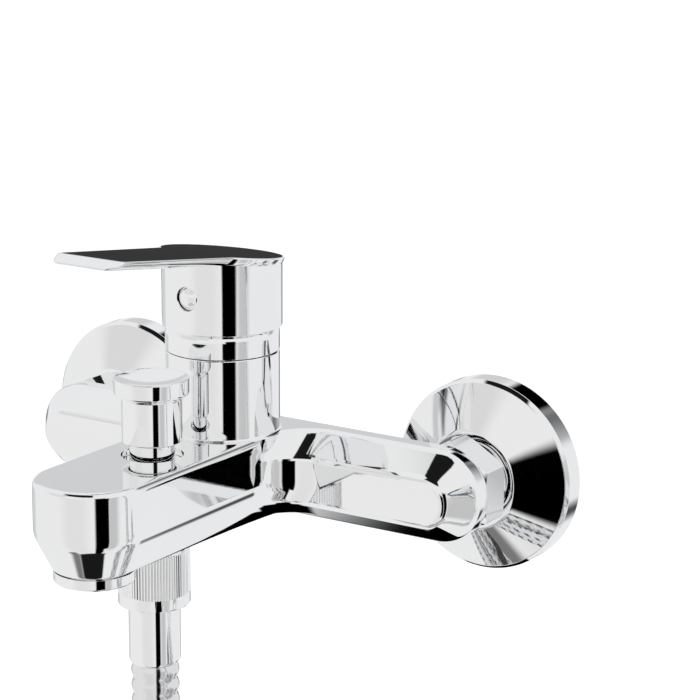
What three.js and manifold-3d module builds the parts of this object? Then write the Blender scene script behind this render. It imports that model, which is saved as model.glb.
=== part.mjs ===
// A wall mounted bath mixer with its hand shower, hose and wall bracket.
// Millimetres. X runs to the right along the wall, Y into the wall and Z up. The wall is the plane Y = 0,
// and the origin lies on it, half way between the two inlets.
import * as THREE from 'three';
import { mergeVertices } from 'three/addons/utils/BufferGeometryUtils.js';
import Module from 'manifold-3d';

const wasm = await Module();
wasm.setup();

// ---- driving dimensions -------------------------------------------------------------------------
const gap = 0.3; // left between two pieces that touch
const fine = 30; // sides of a large round piece
const coarse = 12; // sides of a small round piece

const inletX = 75; // half of the 150 mm between the inlets
const bar = { radius: 15.9, rear: -32, front: -47.9, chamfer: 8, chamferDepth: 10 };
const column = { y: -54.2, radius: 19.4, top: 43.5, bore: 17.6, floor: 5 };
const spout = { halfWidth: 19.2, tipY: -125.1, top: 15.9, sideBottom: -2, bottom: -14, footInset: 5.9 };
const waterway = { inlet: 8.5, cross: 5.5, port: 3.2, spout: 5, y: -40 };
const cornerFillet = 16; // seen from above, between the spout and each arm

const union = { acrossFlats: 30, rear: -31.7, front: -19.7, lip: 2.5, bore: 13.4 };
const rosette = { rimRadius: 33.3, coneRadius: 32, neckRadius: 17, depth: 16.3, rim: 8.5, bore: 13.6, wall: 2 };
const eccentric = { bodyRadius: 13.1, wallRadius: 10.4, offset: 5, start: -23.6, step: -8, end: 13 };

const pivotZ = 41.5; // the height at which the handle tilts
const neck = { sphere: 21, shoulder: 49.2, top: 53.5, bore: 13.4 };
const handle = { radius: 20.2, bottom: 51.9, axisTop: 76.6, slope: 8.3, discRadius: 21.1, plate: 3, cavity: 21.4 };
const lever = { length: 76, rootHalf: 15.5, tipHalf: 13.1, corner: 2 };
const inlay = { inset: 0.6, depth: 1 };
const spindle = { wide: 6, deep: 8, bottom: 34, top: 72, tipZ: 24, tipRadius: 2.6, shank: 2 };
const plug = { z: 64, radius: 3.9, depth: 4.6, proud: 0.3 };

const diverter = { y: -93.9, capRadius: 12.5, capTop: 41.9, capBottom: 36.6, knobRadius: 10, knobBottom: 20.6 };
const bonnet = { radius: 7.45, recess: 10.3, recessFloor: 12.8, top: 25.6, chamber: 8.5, stemBore: 3.2 };
const nipple = { radius: 10.2, bottom: -25, bore: 5.5 };
const hoseNut = { radius: 12, top: -14.9, bottom: -35, ribs: 40, ribDepth: 0.35 };
const hoseSleeve = { radius: 8.6, bottom: -55.4 };
const aerator = { radius: 13.3, top: -14.3, bottom: -18, bore: 9.5, thread: 11.4 };

const hose = { radius: 8, sides: 12, coilRadius: 80, coilX: 80, coilZ: -162, coilTurns: 2.25, pitch: 16.3 };
const bracket = { x: 270, z: -115, reach: -55, plateHalfWide: 24, plateHalfHigh: 37, plateDepth: 9 };
const fork = { inner: 13.4, outer: 18.5, height: 26, mouth: 8.9 };
const shower = { lean: 12, coneTop: 14, coneBottom: -14, coneRadius: 12, handleTop: 150, handleRadius: 12.6 };
const head = { radius: 40, depth: 24, tilt: 100, up: 172, forward: 20, plateRadius: 34.5 };
const nozzleRings = [[12, 13.5], [16, 21], [20, 28.5]]; // how many nozzles, and on what radius

// ---- finishes -----------------------------------------------------------------------------------
const finish = (color, roughness, metalness) => () => new THREE.MeshStandardMaterial({ color, roughness, metalness });
const chrome = finish(0xe6e8ea, 0.06, 1);
const brass = finish(0xc9a75a, 0.35, 1);
const steel = finish(0xb9bcc0, 0.3, 1);
const blackGloss = finish(0x161616, 0.25, 0);
const whitePlastic = finish(0xe9e9e6, 0.45, 0);
const greyPlastic = finish(0x8a8d90, 0.5, 0);
const facePlastic = finish(0x7c8d9c, 0.4, 0);
const ceramic = finish(0xf1efe9, 0.3, 0);
const rubber = finish(0x1c1c1d, 0.8, 0);
const silicone = finish(0x1f7a5c, 0.5, 0);
const hoseSteel = finish(0xcfd2d5, 0.18, 1);
const strap = finish(0x2a2a2c, 0.9, 0);

// ---- solids -------------------------------------------------------------------------------------
function solid(geometry) {
  const bare = geometry.index ? geometry.toNonIndexed() : geometry.clone();
  bare.deleteAttribute('normal');
  bare.deleteAttribute('uv');
  const merged = mergeVertices(bare, 1e-3);
  const index = merged.index.array;
  const kept = [];
  for (let i = 0; i < index.length; i += 3) {
    const [a, b, c] = [index[i], index[i + 1], index[i + 2]];
    if (a !== b && b !== c && c !== a) kept.push(a, b, c);
  }
  const made = (triangles) => new wasm.Manifold(new wasm.Mesh({
    numProp: 3,
    vertProperties: merged.attributes.position.array,
    triVerts: new Uint32Array(triangles),
  }));
  const first = made(kept);
  return first.volume() > 0 ? first : made(kept.toReversed());
}

function geometryOf(body) {
  const mesh = body.getMesh();
  const geometry = new THREE.BufferGeometry();
  geometry.setAttribute('position', new THREE.BufferAttribute(mesh.vertProperties, 3));
  geometry.setIndex(new THREE.BufferAttribute(mesh.triVerts, 1));
  geometry.computeVertexNormals();
  return geometry;
}

const join = (first, ...others) => others.reduce((sum, other) => sum.add(other), first);
const cut = (first, ...others) => others.reduce((rest, other) => rest.subtract(other), first);
const moved = (body, x, y, z) => body.translate([x, y, z]);
const alongY = (body) => body.rotate([90, 0, 0]); // a body on the Z axis turned so that its top faces the room
const alongX = (body) => body.rotate([0, 90, 0]);

// A solid of revolution about Z from [radius, height] points; it closes on the axis or on itself.
function turned(profile, sides = fine) {
  const lathe = new THREE.LatheGeometry(profile.map(([r, z]) => new THREE.Vector2(r, z)), sides);
  return solid(lathe.rotateX(Math.PI / 2));
}

const rod = (radius, bottom, top, sides = fine) =>
  turned([[0, bottom], [radius, bottom], [radius, top], [0, top]], sides);
const tube = (outer, inner, bottom, top, sides = fine) =>
  turned([[inner, bottom], [outer, bottom], [outer, top], [inner, top], [inner, bottom]], sides);

function block(x0, x1, y0, y1, z0, z1) {
  const box = new THREE.BoxGeometry(x1 - x0, y1 - y0, z1 - z0);
  return solid(box.translate((x0 + x1) / 2, (y0 + y1) / 2, (z0 + z1) / 2));
}

// A flat outline raised along Z; a bevel grows the outline by its size over its height, at both ends.
function raised(shape, bottom, height, bevel = null, curveSegments = 9) {
  const settings = bevel
    ? { depth: height, bevelEnabled: true, bevelThickness: bevel.height, bevelSize: bevel.size, bevelSegments: 1 }
    : { depth: height, bevelEnabled: false };
  const geometry = new THREE.ExtrudeGeometry(shape, { ...settings, curveSegments });
  return solid(geometry.translate(0, 0, bottom));
}

// Two half circles joined by straight sides, from (x0, y0) to (x1, y1).
function stadium(x0, y0, x1, y1, radius) {
  const along = Math.atan2(y1 - y0, x1 - x0);
  const shape = new THREE.Shape();
  shape.absarc(x1, y1, radius, along - Math.PI / 2, along + Math.PI / 2, false);
  shape.absarc(x0, y0, radius, along + Math.PI / 2, along + Math.PI * 1.5, false);
  return shape;
}

function piece(name, body, material) {
  const mesh = new THREE.Mesh(geometryOf(body), material());
  mesh.name = name;
  return mesh;
}

function placed(x, y, z, ...children) {
  const group = new THREE.Group();
  group.position.set(x, y, z);
  group.add(...children);
  return group;
}

// ---- the brass body -----------------------------------------------------------------------------
function armBar() {
  const core = bar.radius - bar.chamfer;
  const shape = stadium(-inletX, 0, inletX, 0, core);
  const straight = bar.rear - bar.front - bar.chamferDepth;
  const both = raised(shape, 0, straight, { height: bar.chamferDepth, size: bar.chamfer });
  const frontHalf = both.intersect(block(-200, 200, -50, 50, 0, 50));
  return moved(alongY(frontHalf), 0, bar.rear, 0);
}

function spoutBlock() {
  const foot = spout.halfWidth - spout.footInset;
  const shape = stadium(0, column.y, 0, spout.tipY, foot);
  const rise = spout.sideBottom - spout.bottom;
  const tall = spout.top - spout.sideBottom;
  const both = raised(shape, spout.sideBottom, tall, { height: rise, size: spout.footInset });
  return both.intersect(block(-50, 50, -200, 50, spout.bottom, spout.top));
}

// Fills the inside corner between an arm and the spout with a concave curve, seen from above.
function cornerBlend(side, frontY, halfHeight) {
  const inside = spout.halfWidth - 1;
  const reach = spout.halfWidth + cornerFillet;
  const shape = new THREE.Shape();
  shape.moveTo(side * inside, frontY + 1);
  shape.lineTo(side * inside, frontY - cornerFillet);
  shape.lineTo(side * spout.halfWidth, frontY - cornerFillet);
  const turn = side > 0 ? [Math.PI, Math.PI / 2, true] : [0, Math.PI / 2, false];
  shape.absarc(side * reach, frontY - cornerFillet, cornerFillet, ...turn);
  shape.lineTo(side * reach, frontY + 1);
  shape.closePath();
  return raised(shape, -halfHeight, 2 * halfHeight, null, 8);
}

function mixerBody() {
  const flat = bar.radius - bar.chamfer;
  const sides = [-1, 1];
  const blends = sides.flatMap((side) => [
    cornerBlend(side, bar.front, flat),
    cornerBlend(side, bar.front + bar.chamferDepth, spout.top).intersect(block(-50, 50, -70, 0, spout.bottom, spout.top)),
  ]);
  const tower = moved(rod(column.radius, spout.bottom + 1, column.top), 0, column.y, 0);
  const outside = join(armBar(), spoutBlock(), tower, ...blends);

  const cartridgeBore = moved(rod(column.bore, column.floor, column.top + 1), 0, column.y, 0);
  const inlets = sides.map((side) =>
    moved(alongY(rod(waterway.inlet, -1, bar.rear - waterway.y + 3, coarse)), side * inletX, bar.rear, 0));
  const crossings = sides.map((side) => {
    const run = alongX(rod(waterway.cross, 0, inletX - 8, coarse));
    return moved(side > 0 ? run : run.mirror([1, 0, 0]), side * 8, waterway.y, 0);
  });
  const ports = sides.map((side) =>
    moved(rod(waterway.port, -2, column.floor + 1, coarse), side * 10, waterway.y - 4, 0));
  const mixedPort = moved(rod(waterway.port + 1, -1, column.floor + 1, coarse), 0, column.y - 9, 0);
  const channelStart = column.y - 5;
  const channel = moved(alongY(rod(waterway.spout, 0, channelStart - spout.tipY, coarse)), 0, channelStart, -1);
  const chamber = moved(rod(bonnet.chamber, spout.bottom - 1, spout.top + 1, coarse), 0, diverter.y, 0);
  const recess = moved(rod(bonnet.recess, bonnet.recessFloor, spout.top + 1, fine), 0, diverter.y, 0);
  const aeratorBore = moved(rod(aerator.thread + gap, spout.bottom - 1, -5, fine), 0, spout.tipY, 0);
  const drop = moved(rod(7, -6, 0, coarse), 0, spout.tipY, 0);
  const body = cut(outside, cartridgeBore, ...inlets, ...crossings, ...ports, mixedPort, channel,
    chamber, recess, aeratorBore, drop);
  return piece('mixer_body', body, chrome);
}

// ---- wall connection, one at each inlet ---------------------------------------------------------
// Profiles are [radius, distance out of the wall]; alongY turns them to face the room.
function hexagon(radius) {
  const shape = new THREE.Shape();
  for (let corner = 0; corner < 6; corner += 1) {
    const angle = (corner * Math.PI) / 3;
    const [x, y] = [radius * Math.cos(angle), radius * Math.sin(angle)];
    if (corner) shape.lineTo(x, y);
    else shape.moveTo(x, y);
  }
  shape.closePath();
  return shape;
}

function unionNut(name) {
  const corners = union.acrossFlats / Math.sqrt(3);
  const [low, high] = [-union.front, -union.rear];
  const length = high - low;
  const hex = raised(hexagon(corners), low, length);
  const chamfers = turned([[0, low], [corners - 1.6, low], [corners + 0.2, low + 1.6], [corners + 0.2, high - 1.6],
    [corners - 1.6, high], [0, high]]);
  const thread = rod(union.bore, low - 1, high - union.lip);
  const throat = rod(10.6, low - 1, high + 1);
  return piece(name, alongY(cut(hex.intersect(chamfers), thread, throat)), chrome);
}

function seatNipple(name) {
  const bore = 6.8;
  const profile = [[bore, 26.2], [12.9, 26.2], [12.9, 28.8], [10.2, 28.8], [10.2, 31.7], [8.2, 31.7], [8.2, 38],
    [bore, 38], [bore, 26.2]];
  return piece(name, alongY(turned(profile, coarse)), brass);
}

function unionWasher(name) {
  return piece(name, alongY(tube(12.8, 7.5, 24, 25.9, coarse)), rubber);
}

function inletFilter(name) {
  const profile = [[0, 29.6], [6.3, 27], [6.3, 26.4], [0, 29]];
  return piece(name, alongY(turned(profile, coarse)), steel);
}

// The S-shaped connector: its wall thread stands above its mixer thread by the offset.
function eccentricUnion(name) {
  const [start, step] = [-eccentric.start, -eccentric.step];
  const front = rod(eccentric.bodyRadius, step - 2, start, coarse);
  const wall = rod(eccentric.wallRadius, -eccentric.end, step, coarse);
  const collar = rod(12.2, 1.5, step, coarse);
  const rear = moved(join(wall, collar), 0, eccentric.offset, 0);
  const frontBore = rod(8, step - 1, start + 1, coarse);
  const rearBore = moved(rod(6.5, -eccentric.end - 1, step, coarse), 0, eccentric.offset, 0);
  return piece(name, alongY(cut(join(front, rear), frontBore, rearBore)), brass);
}

function wallRosette(name) {
  const r = rosette;
  const inner = r.coneRadius - r.wall;
  const profile = [[r.bore, r.depth], [r.neckRadius, r.depth], [r.coneRadius, r.rim], [r.rimRadius, r.rim - 1.3],
    [r.rimRadius, 0], [r.rimRadius - r.wall, 0], [inner, r.rim - 2], [r.neckRadius + 1.5, r.depth - 2.6],
    [r.bore, r.depth - 2.6], [r.bore, r.depth]];
  return piece(name, alongY(turned(profile)), chrome);
}

function wallConnection(side, word) {
  return placed(side * inletX, 0, 0, unionNut(`union_nut_${word}`), seatNipple(`seat_nipple_${word}`),
    unionWasher(`union_washer_${word}`), inletFilter(`inlet_filter_${word}`),
    eccentricUnion(`eccentric_union_${word}`), wallRosette(`wall_rosette_${word}`));
}

// ---- cartridge, on the column's axis ------------------------------------------------------------
function cartridgeParts() {
  const housing = turned([[15.2, 6.2], [17.2, 6.2], [17.2, 36], [13, 36], [13, 33], [15.2, 33], [15.2, 6.2]],
    coarse);
  const base = cut(rod(17.2, column.floor + 0.4, 5.9, coarse), moved(rod(3, 0, 10, coarse), 0, -9, 0));
  const fixedDisc = cut(rod(14.6, 6.4, 10, coarse), moved(rod(3, 0, 12, coarse), 0, -9, 0),
    moved(rod(2.6, 0, 12, coarse), 8, 5, 0), moved(rod(2.6, 0, 12, coarse), -8, 5, 0));
  const nut = tube(17.3, 13.3, 36.3, 43.2, coarse);
  const notches = [0, 60, 120].map((turn) => block(-20, 20, -1.6, 1.6, 41, 45).rotate([0, 0, turn]));
  return [
    piece('cartridge_housing', housing, greyPlastic),
    piece('cartridge_base_seal', base, rubber),
    piece('cartridge_fixed_disc', fixedDisc, ceramic),
    piece('cartridge_retaining_nut', cut(nut, ...notches), brass),
  ];
}

function movingDisc() {
  const middle = 3.4; // the disc sits this far towards the wall while the lever is down
  const disc = moved(rod(11, 10.3, 13.7, coarse), 0, middle, 0);
  const pocket = moved(rod(6, 9, 11.8, coarse), 0, middle - 3, 0);
  const carrier = join(moved(rod(10.8, 14, 18, coarse), 0, middle, 0), rod(6, 17, 26.5, coarse));
  return [
    piece('cartridge_moving_disc', cut(disc, pocket), ceramic),
    piece('cartridge_disc_carrier', cut(carrier, rod(3.4, 21, 28, coarse)), whitePlastic),
  ];
}

function rotorParts() {
  const rotor = join(rod(14.3, 29, 32.7, coarse), rod(12.2, 32, 46, coarse));
  const slot = block(-spindle.wide / 2 - gap, spindle.wide / 2 + gap, -8, 7.4, 28, 47);
  const pinHole = moved(alongX(rod(1.7, -20, 20, coarse)), 0, 0, pivotZ);
  const pin = moved(alongX(rod(1.4, -11.5, 11.5, coarse)), 0, 0, pivotZ);
  return [
    piece('cartridge_rotor', cut(rotor, slot, pinHole), whitePlastic),
    piece('spindle_pin', pin, steel),
  ];
}

function neckRing() {
  const points = [[neck.bore, column.top + gap], [column.radius, column.top + gap]];
  const steps = 4;
  for (let step = 0; step <= steps; step += 1) {
    const z = neck.shoulder + ((neck.top - neck.shoulder) * step) / steps;
    const rise = z - pivotZ;
    points.push([Math.min(column.radius, Math.sqrt(neck.sphere ** 2 - rise ** 2)), z]);
  }
  points.push([neck.bore, neck.top], [neck.bore, column.top + gap]);
  return piece('neck_ring', turned(points), chrome);
}

// ---- handle -------------------------------------------------------------------------------------
// The outline of the top, in the plane of the lever: a disc with a tapering lever towards -Y.
function keyhole(discRadius, inset) {
  const half = (along) => lever.rootHalf - ((lever.rootHalf - lever.tipHalf) * along) / lever.length - inset;
  const startAngle = Math.asin(half(14) / discRadius);
  const tip = -lever.length + inset;
  const shape = new THREE.Shape();
  shape.absarc(0, 0, discRadius, -Math.PI / 2 + startAngle, Math.PI * 1.5 - startAngle, false);
  const corner = lever.corner;
  shape.lineTo(-half(-tip), tip + corner);
  shape.lineTo(-half(-tip) + corner, tip);
  shape.lineTo(half(-tip) - corner, tip);
  shape.lineTo(half(-tip), tip + corner);
  shape.closePath();
  return shape;
}

const tilted = (body) => body.rotate([-handle.slope, 0, 0]).translate([0, 0, handle.axisTop]);

function handleParts() {
  const plate = tilted(raised(keyhole(handle.discRadius, 0), -handle.plate, handle.plate, null, 16));
  const below = tilted(block(-60, 60, -100, 60, -120, -handle.plate + 0.5));
  const skirt = rod(handle.radius, handle.bottom, 90).intersect(below);
  const cavity = solid(new THREE.SphereGeometry(handle.cavity, fine, coarse).translate(0, 0, pivotZ));
  const boss = rod(7, 57, 68, coarse);
  const halfWide = spindle.wide / 2 + gap;
  const halfDeep = spindle.deep / 2 + gap;
  const socket = block(-halfWide, halfWide, -halfDeep, halfDeep, 50, spindle.top + gap);
  const screwHole = moved(alongY(rod(2.6, 0, 30, coarse)), 0, 0, plug.z);
  const plugHole = moved(alongY(rod(plug.radius + 0.2, handle.radius - plug.depth, 30, coarse)), 0, 0, plug.z);
  const recess = tilted(raised(keyhole(handle.discRadius - inlay.inset, inlay.inset), -inlay.depth, 5, null, 16));
  const casting = cut(join(cut(join(skirt, plate), cavity), boss), socket, screwHole, plugHole, recess);

  const insert = inlay.inset + 0.2;
  const panel = raised(keyhole(handle.discRadius - insert, insert), -inlay.depth + 0.2, inlay.depth - 0.2, null, 16);
  const screw = moved(alongY(rod(2.2, halfDeep + 0.1, 14.5, coarse)), 0, 0, plug.z);
  const hexKey = moved(alongY(raised(hexagon(1.3), 11.5, 6)), 0, 0, plug.z);
  const plugFace = handle.radius + plug.proud;
  const indexPlug = turned([[0, handle.radius - plug.depth + 0.2], [3.1, handle.radius - plug.depth + 0.2],
    [plug.radius, handle.radius - 2.6], [plug.radius, plugFace - 0.5], [plug.radius - 0.5, plugFace], [0, plugFace]],
  coarse);
  return [
    piece('handle', casting, chrome),
    piece('handle_inlay', tilted(panel), blackGloss),
    piece('handle_set_screw', cut(screw, hexKey), steel),
    piece('index_plug', moved(alongY(indexPlug), 0, 0, plug.z), chrome),
  ];
}

function spindleBar() {
  const { wide, deep, bottom, top } = spindle;
  const bar8 = block(-wide / 2, wide / 2, -deep / 2, deep / 2, bottom, top);
  const shank = rod(spindle.shank, spindle.tipZ, bottom + 1, coarse);
  const tip = solid(new THREE.SphereGeometry(spindle.tipRadius, coarse, 12).translate(0, 0, spindle.tipZ));
  const pinHole = moved(alongX(rod(1.7, -20, 20, coarse)), 0, 0, pivotZ);
  return piece('spindle', cut(join(bar8, shank, tip), pinHole), brass);
}

// ---- diverter, on its own axis ------------------------------------------------------------------
function diverterParts() {
  const d = diverter;
  const knob = turned([[8, d.knobBottom], [d.knobRadius, d.knobBottom], [d.knobRadius, d.capBottom - 1.6],
    [d.capRadius - 0.5, d.capBottom], [d.capRadius, d.capBottom + 1], [d.capRadius, d.capTop - 0.7],
    [d.capRadius - 0.7, d.capTop], [d.capRadius - 1.6, d.capTop - 0.5], [0, d.capTop - 1.7], [0, 33.6], [8, 33.6],
    [8, d.knobBottom]]);
  const stemTop = 38;
  const knobBore = rod(2.8, 30, stemTop, coarse);
  const b = bonnet;
  const flange = b.recessFloor + 0.8;
  const sleeve = turned([[6.4, 3], [8.2, 3], [8.2, b.recessFloor + 0.2], [10, b.recessFloor + 0.2], [10, flange],
    [b.radius, flange], [b.radius, b.top - 0.6], [b.radius - 1, b.top], [b.stemBore, b.top], [b.stemBore, 6],
    [6.4, 6], [6.4, 3]]);
  const stem = turned([[0, -4.8], [2.5, -4.8], [2.5, stemTop - gap], [0, stemTop - gap]], coarse);
  const poppet = turned([[2.8, -3.6], [7, -3.6], [7.6, -2.4], [7.6, -1], [7, 0.2], [2.8, 0.2], [2.8, -3.6]], coarse);
  const packing = tube(6.1, 2.8, 3.4, 5.7, coarse);
  return [
    piece('diverter_knob', cut(knob, knobBore), chrome),
    piece('diverter_bonnet', sleeve, chrome),
    piece('diverter_stem', stem, steel),
    piece('diverter_seal', poppet, rubber),
    piece('diverter_packing', packing, rubber),
  ];
}

// ---- shower outlet below the diverter -----------------------------------------------------------
function outletNipple() {
  const n = nipple;
  const top = spout.bottom - gap;
  const profile = [[n.bore, -10.5], [8.2, -10.5], [8.2, top], [n.radius, top], [n.radius, n.bottom],
    [n.bore, n.bottom], [n.bore, -10.5]];
  return piece('outlet_nipple', turned(profile, coarse), brass);
}

function knurledNut() {
  const n = hoseNut;
  const shape = new THREE.Shape();
  for (let rib = 0; rib < n.ribs; rib += 1) {
    const angle = (rib * 2 * Math.PI) / n.ribs;
    const halfStep = Math.PI / n.ribs;
    const valley = n.radius - n.ribDepth;
    const [x, y] = [n.radius * Math.cos(angle), n.radius * Math.sin(angle)];
    if (rib) shape.lineTo(x, y);
    else shape.moveTo(x, y);
    shape.lineTo(valley * Math.cos(angle + halfStep), valley * Math.sin(angle + halfStep));
  }
  shape.closePath();
  const outside = raised(shape, n.bottom, n.top - n.bottom);
  const thread = rod(nipple.radius + gap, n.bottom + 5, n.top + 1, coarse);
  return piece('hose_nut', cut(outside, thread, rod(7.4, n.bottom - 1, n.top, coarse)), chrome);
}

function hoseFerrule() {
  const lip = hoseNut.bottom + 5 + gap;
  const s = hoseSleeve;
  const profile = [[5.2, lip + 2], [10, lip + 2], [10, lip], [7, lip], [7, hoseNut.bottom - gap],
    [s.radius, hoseNut.bottom - gap], [s.radius, s.bottom], [5.2, s.bottom], [5.2, lip + 2]];
  return piece('hose_ferrule', turned(profile, coarse), chrome);
}

function hoseWasher() {
  return piece('hose_washer', tube(10, 5.6, -27.4, nipple.bottom - gap, coarse), rubber);
}

// ---- aerator at the spout's tip -----------------------------------------------------------------
function aeratorParts() {
  const a = aerator;
  const shell = turned([[a.bore, a.bottom + 0.8], [a.bore + 0.6, a.bottom], [a.radius - 0.6, a.bottom],
    [a.radius, a.bottom + 0.6], [a.radius, a.top], [a.thread, a.top], [a.thread, -7.2], [a.bore, -7.2],
    [a.bore, a.bottom + 0.8]]);
  const insert = turned([[0, -16.2], [7.5, -16.4], [9.2, -15.6], [9.2, -7.4], [0, -7.4]], coarse);
  return [
    piece('aerator_shell', shell, chrome),
    piece('aerator_insert', insert, whitePlastic),
    piece('aerator_washer', tube(11.2, 7.2, -6.9, -5.3, coarse), rubber),
  ];
}

// ---- hand shower, upright about the axis of its conical nut -------------------------------------
function showerHandle() {
  const s = shower;
  const stations = 7;
  const bore = 7;
  const outer = [];
  const inner = [];
  for (let station = 0; station <= stations; station += 1) {
    const share = station / stations;
    const z = s.coneTop + gap + (s.handleTop - s.coneTop) * share;
    outer.push([s.handleRadius - 0.9 + 3 * share - 1.6 * Math.sin(Math.PI * share), z]);
    inner.unshift([bore, z]);
  }
  const straight = turned([...inner.slice(-1), ...outer, ...inner], coarse);
  const bow = (z) => head.forward * ((z - s.coneTop) / (head.up - s.coneTop)) ** 2;
  return straight.warp((point) => {
    point[1] -= bow(point[2]);
  });
}

const inHead = (body) => body.rotate([head.tilt, 0, 0]).translate([0, -head.forward, head.up]);

function headShell() {
  const h = head;
  const outside = turned([[0, -h.depth], [14, -h.depth], [26, -h.depth + 3.5], [35, -h.depth + 9],
    [h.radius, -8], [h.radius, -4], [0, -4]]);
  const hollow = turned([[0, -h.depth + 3], [14, -h.depth + 3], [25, -h.depth + 6.5], [33, -h.depth + 11.5],
    [37, -8], [37, 0], [0, 0]]);
  return cut(outside, hollow);
}

function nozzles(radius, bottom, top) {
  return nozzleRings.flatMap(([count, ring]) => Array.from({ length: count }, (_, index) => {
    const angle = (index * 2 * Math.PI) / count;
    const peg = rod(radius, bottom, top, 4);
    return moved(peg, ring * Math.cos(angle), ring * Math.sin(angle), 0);
  }));
}

function handShowerParts() {
  const s = shower;
  const h = head;
  const neckCut = inHead(rod(h.radius + 1, -4, 40));
  const shellSpace = inHead(turned([[0, -h.depth - gap], [14.2, -h.depth - gap], [26.2, -h.depth + 3.2],
    [35.3, -h.depth + 8.8], [h.radius + gap, -8], [h.radius + gap, 0], [0, 0]]));
  const grip = cut(showerHandle(), neckCut, shellSpace);
  const rim = turned([[35, -3.7], [h.radius, -3.7], [h.radius, -1.6], [h.radius - 1.6, 0], [35, 0], [35, -3.7]]);
  const plate = cut(rod(h.plateRadius, -1.8, 0), ...nozzles(1.5, -3, 1));
  const mat = join(rod(h.plateRadius - 1, -3.4, -2.1), ...nozzles(1.15, -2.6, 1.2));
  const cone = turned([[6.6, s.coneBottom], [s.coneRadius - 2.4, s.coneBottom], [s.coneRadius, s.coneTop],
    [9, s.coneTop], [9, s.coneTop - 9], [6.6, s.coneTop - 9], [6.6, s.coneBottom]], coarse);
  return [
    piece('shower_handle', grip, chrome),
    piece('shower_head_shell', inHead(headShell()), chrome),
    piece('shower_face_ring', inHead(rim), facePlastic),
    piece('shower_spray_plate', inHead(plate), facePlastic),
    piece('shower_nozzle_mat', inHead(mat), silicone),
    piece('shower_cone_nut', cone, chrome),
    piece('shower_washer', tube(8.6, 5.5, s.coneTop - 8.6, s.coneTop - 7, coarse), rubber),
  ];
}

// The hose's own end, swaged into the bottom of the conical nut.
function hoseEndCollar() {
  const low = shower.coneBottom - 4;
  const profile = [[4.4, low], [hose.radius + 0.4, low], [hose.radius + 0.4, shower.coneBottom - gap],
    [6.2, shower.coneBottom - gap], [6.2, -2], [4.4, -2], [4.4, low]];
  return piece('hose_end_collar', turned(profile, coarse), chrome);
}

// ---- wall bracket, about the point where the hand shower sits -----------------------------------
function bracketParts() {
  const b = bracket;
  const rise = b.plateHalfHigh - b.plateHalfWide;
  const outline = stadium(0, -rise, 0, rise, b.plateHalfWide - 3);
  const plate = alongY(raised(outline, 0, b.plateDepth - 3, { height: 3, size: 3 })
    .intersect(block(-50, 50, -60, 60, 0, 50)));
  const screwHoles = [-1, 1].map((end) => moved(alongY(rod(2.4, -1, 20, coarse)), 0, 0, end * (rise + 8)));
  const heads = [-1, 1].map((end) => moved(alongY(rod(4.6, 4, 20, coarse)), 0, 0, end * (rise + 8)));

  const lean = (body) => body.rotate([shower.lean, 0, 0]).translate([0, b.reach, 0]);
  const cup = lean(turned([[0, -fork.height / 2], [fork.outer - 1.5, -fork.height / 2],
    [fork.outer, -fork.height / 2 + 1.5], [fork.outer, fork.height / 2 - 1.5],
    [fork.outer - 1.5, fork.height / 2], [0, fork.height / 2]]));
  const seat = lean(turned([[0, -fork.height], [fork.inner - 2.6, -fork.height], [fork.inner + 1, fork.height],
    [0, fork.height]]));
  const mouth = lean(block(-fork.mouth, fork.mouth, -40, 0, -fork.height, fork.height));
  const arm = block(-10, 10, b.reach, -b.plateDepth - gap, -11, 11);
  const tenon = block(-7, 7, -b.plateDepth - 1, -4.3, -8, 8);
  const mortise = block(-7.3, 7.3, -b.plateDepth - 1, -4, -8.3, 8.3);
  const screw = (end) => {
    const shank = rod(2, -22, 6, coarse);
    const screwHead = rod(4.2, 4.3, 7, coarse);
    const slot = block(-5, 5, -0.6, 0.6, 6, 8);
    return moved(alongY(cut(join(shank, screwHead), slot)), 0, 0, end * (rise + 8));
  };
  return [
    piece('bracket_plate', cut(plate, ...screwHoles, ...heads, mortise), chrome),
    piece('bracket_fork', cut(join(cup, arm, tenon), seat, mouth), chrome),
    piece('bracket_screw_upper', screw(1), steel),
    piece('bracket_screw_lower', screw(-1), steel),
  ];
}

// ---- hose ---------------------------------------------------------------------------------------
const leanAngle = (shower.lean * Math.PI) / 180;
const seatPoint = new THREE.Vector3(bracket.x, bracket.reach, bracket.z);
const onSeatAxis = (along) =>
  seatPoint.clone().add(new THREE.Vector3(0, -Math.sin(leanAngle), Math.cos(leanAngle)).multiplyScalar(along));

function hoseTube(name, points, steps) {
  const circle = new THREE.Shape();
  circle.absarc(0, 0, hose.radius, 0, 2 * Math.PI, false);
  const path = new THREE.CatmullRomCurve3(points.map((point) => new THREE.Vector3(...point)));
  const geometry = new THREE.ExtrudeGeometry(circle, { steps, curveSegments: hose.sides / 2, extrudePath: path });
  return piece(name, solid(geometry), hoseSteel);
}

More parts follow.
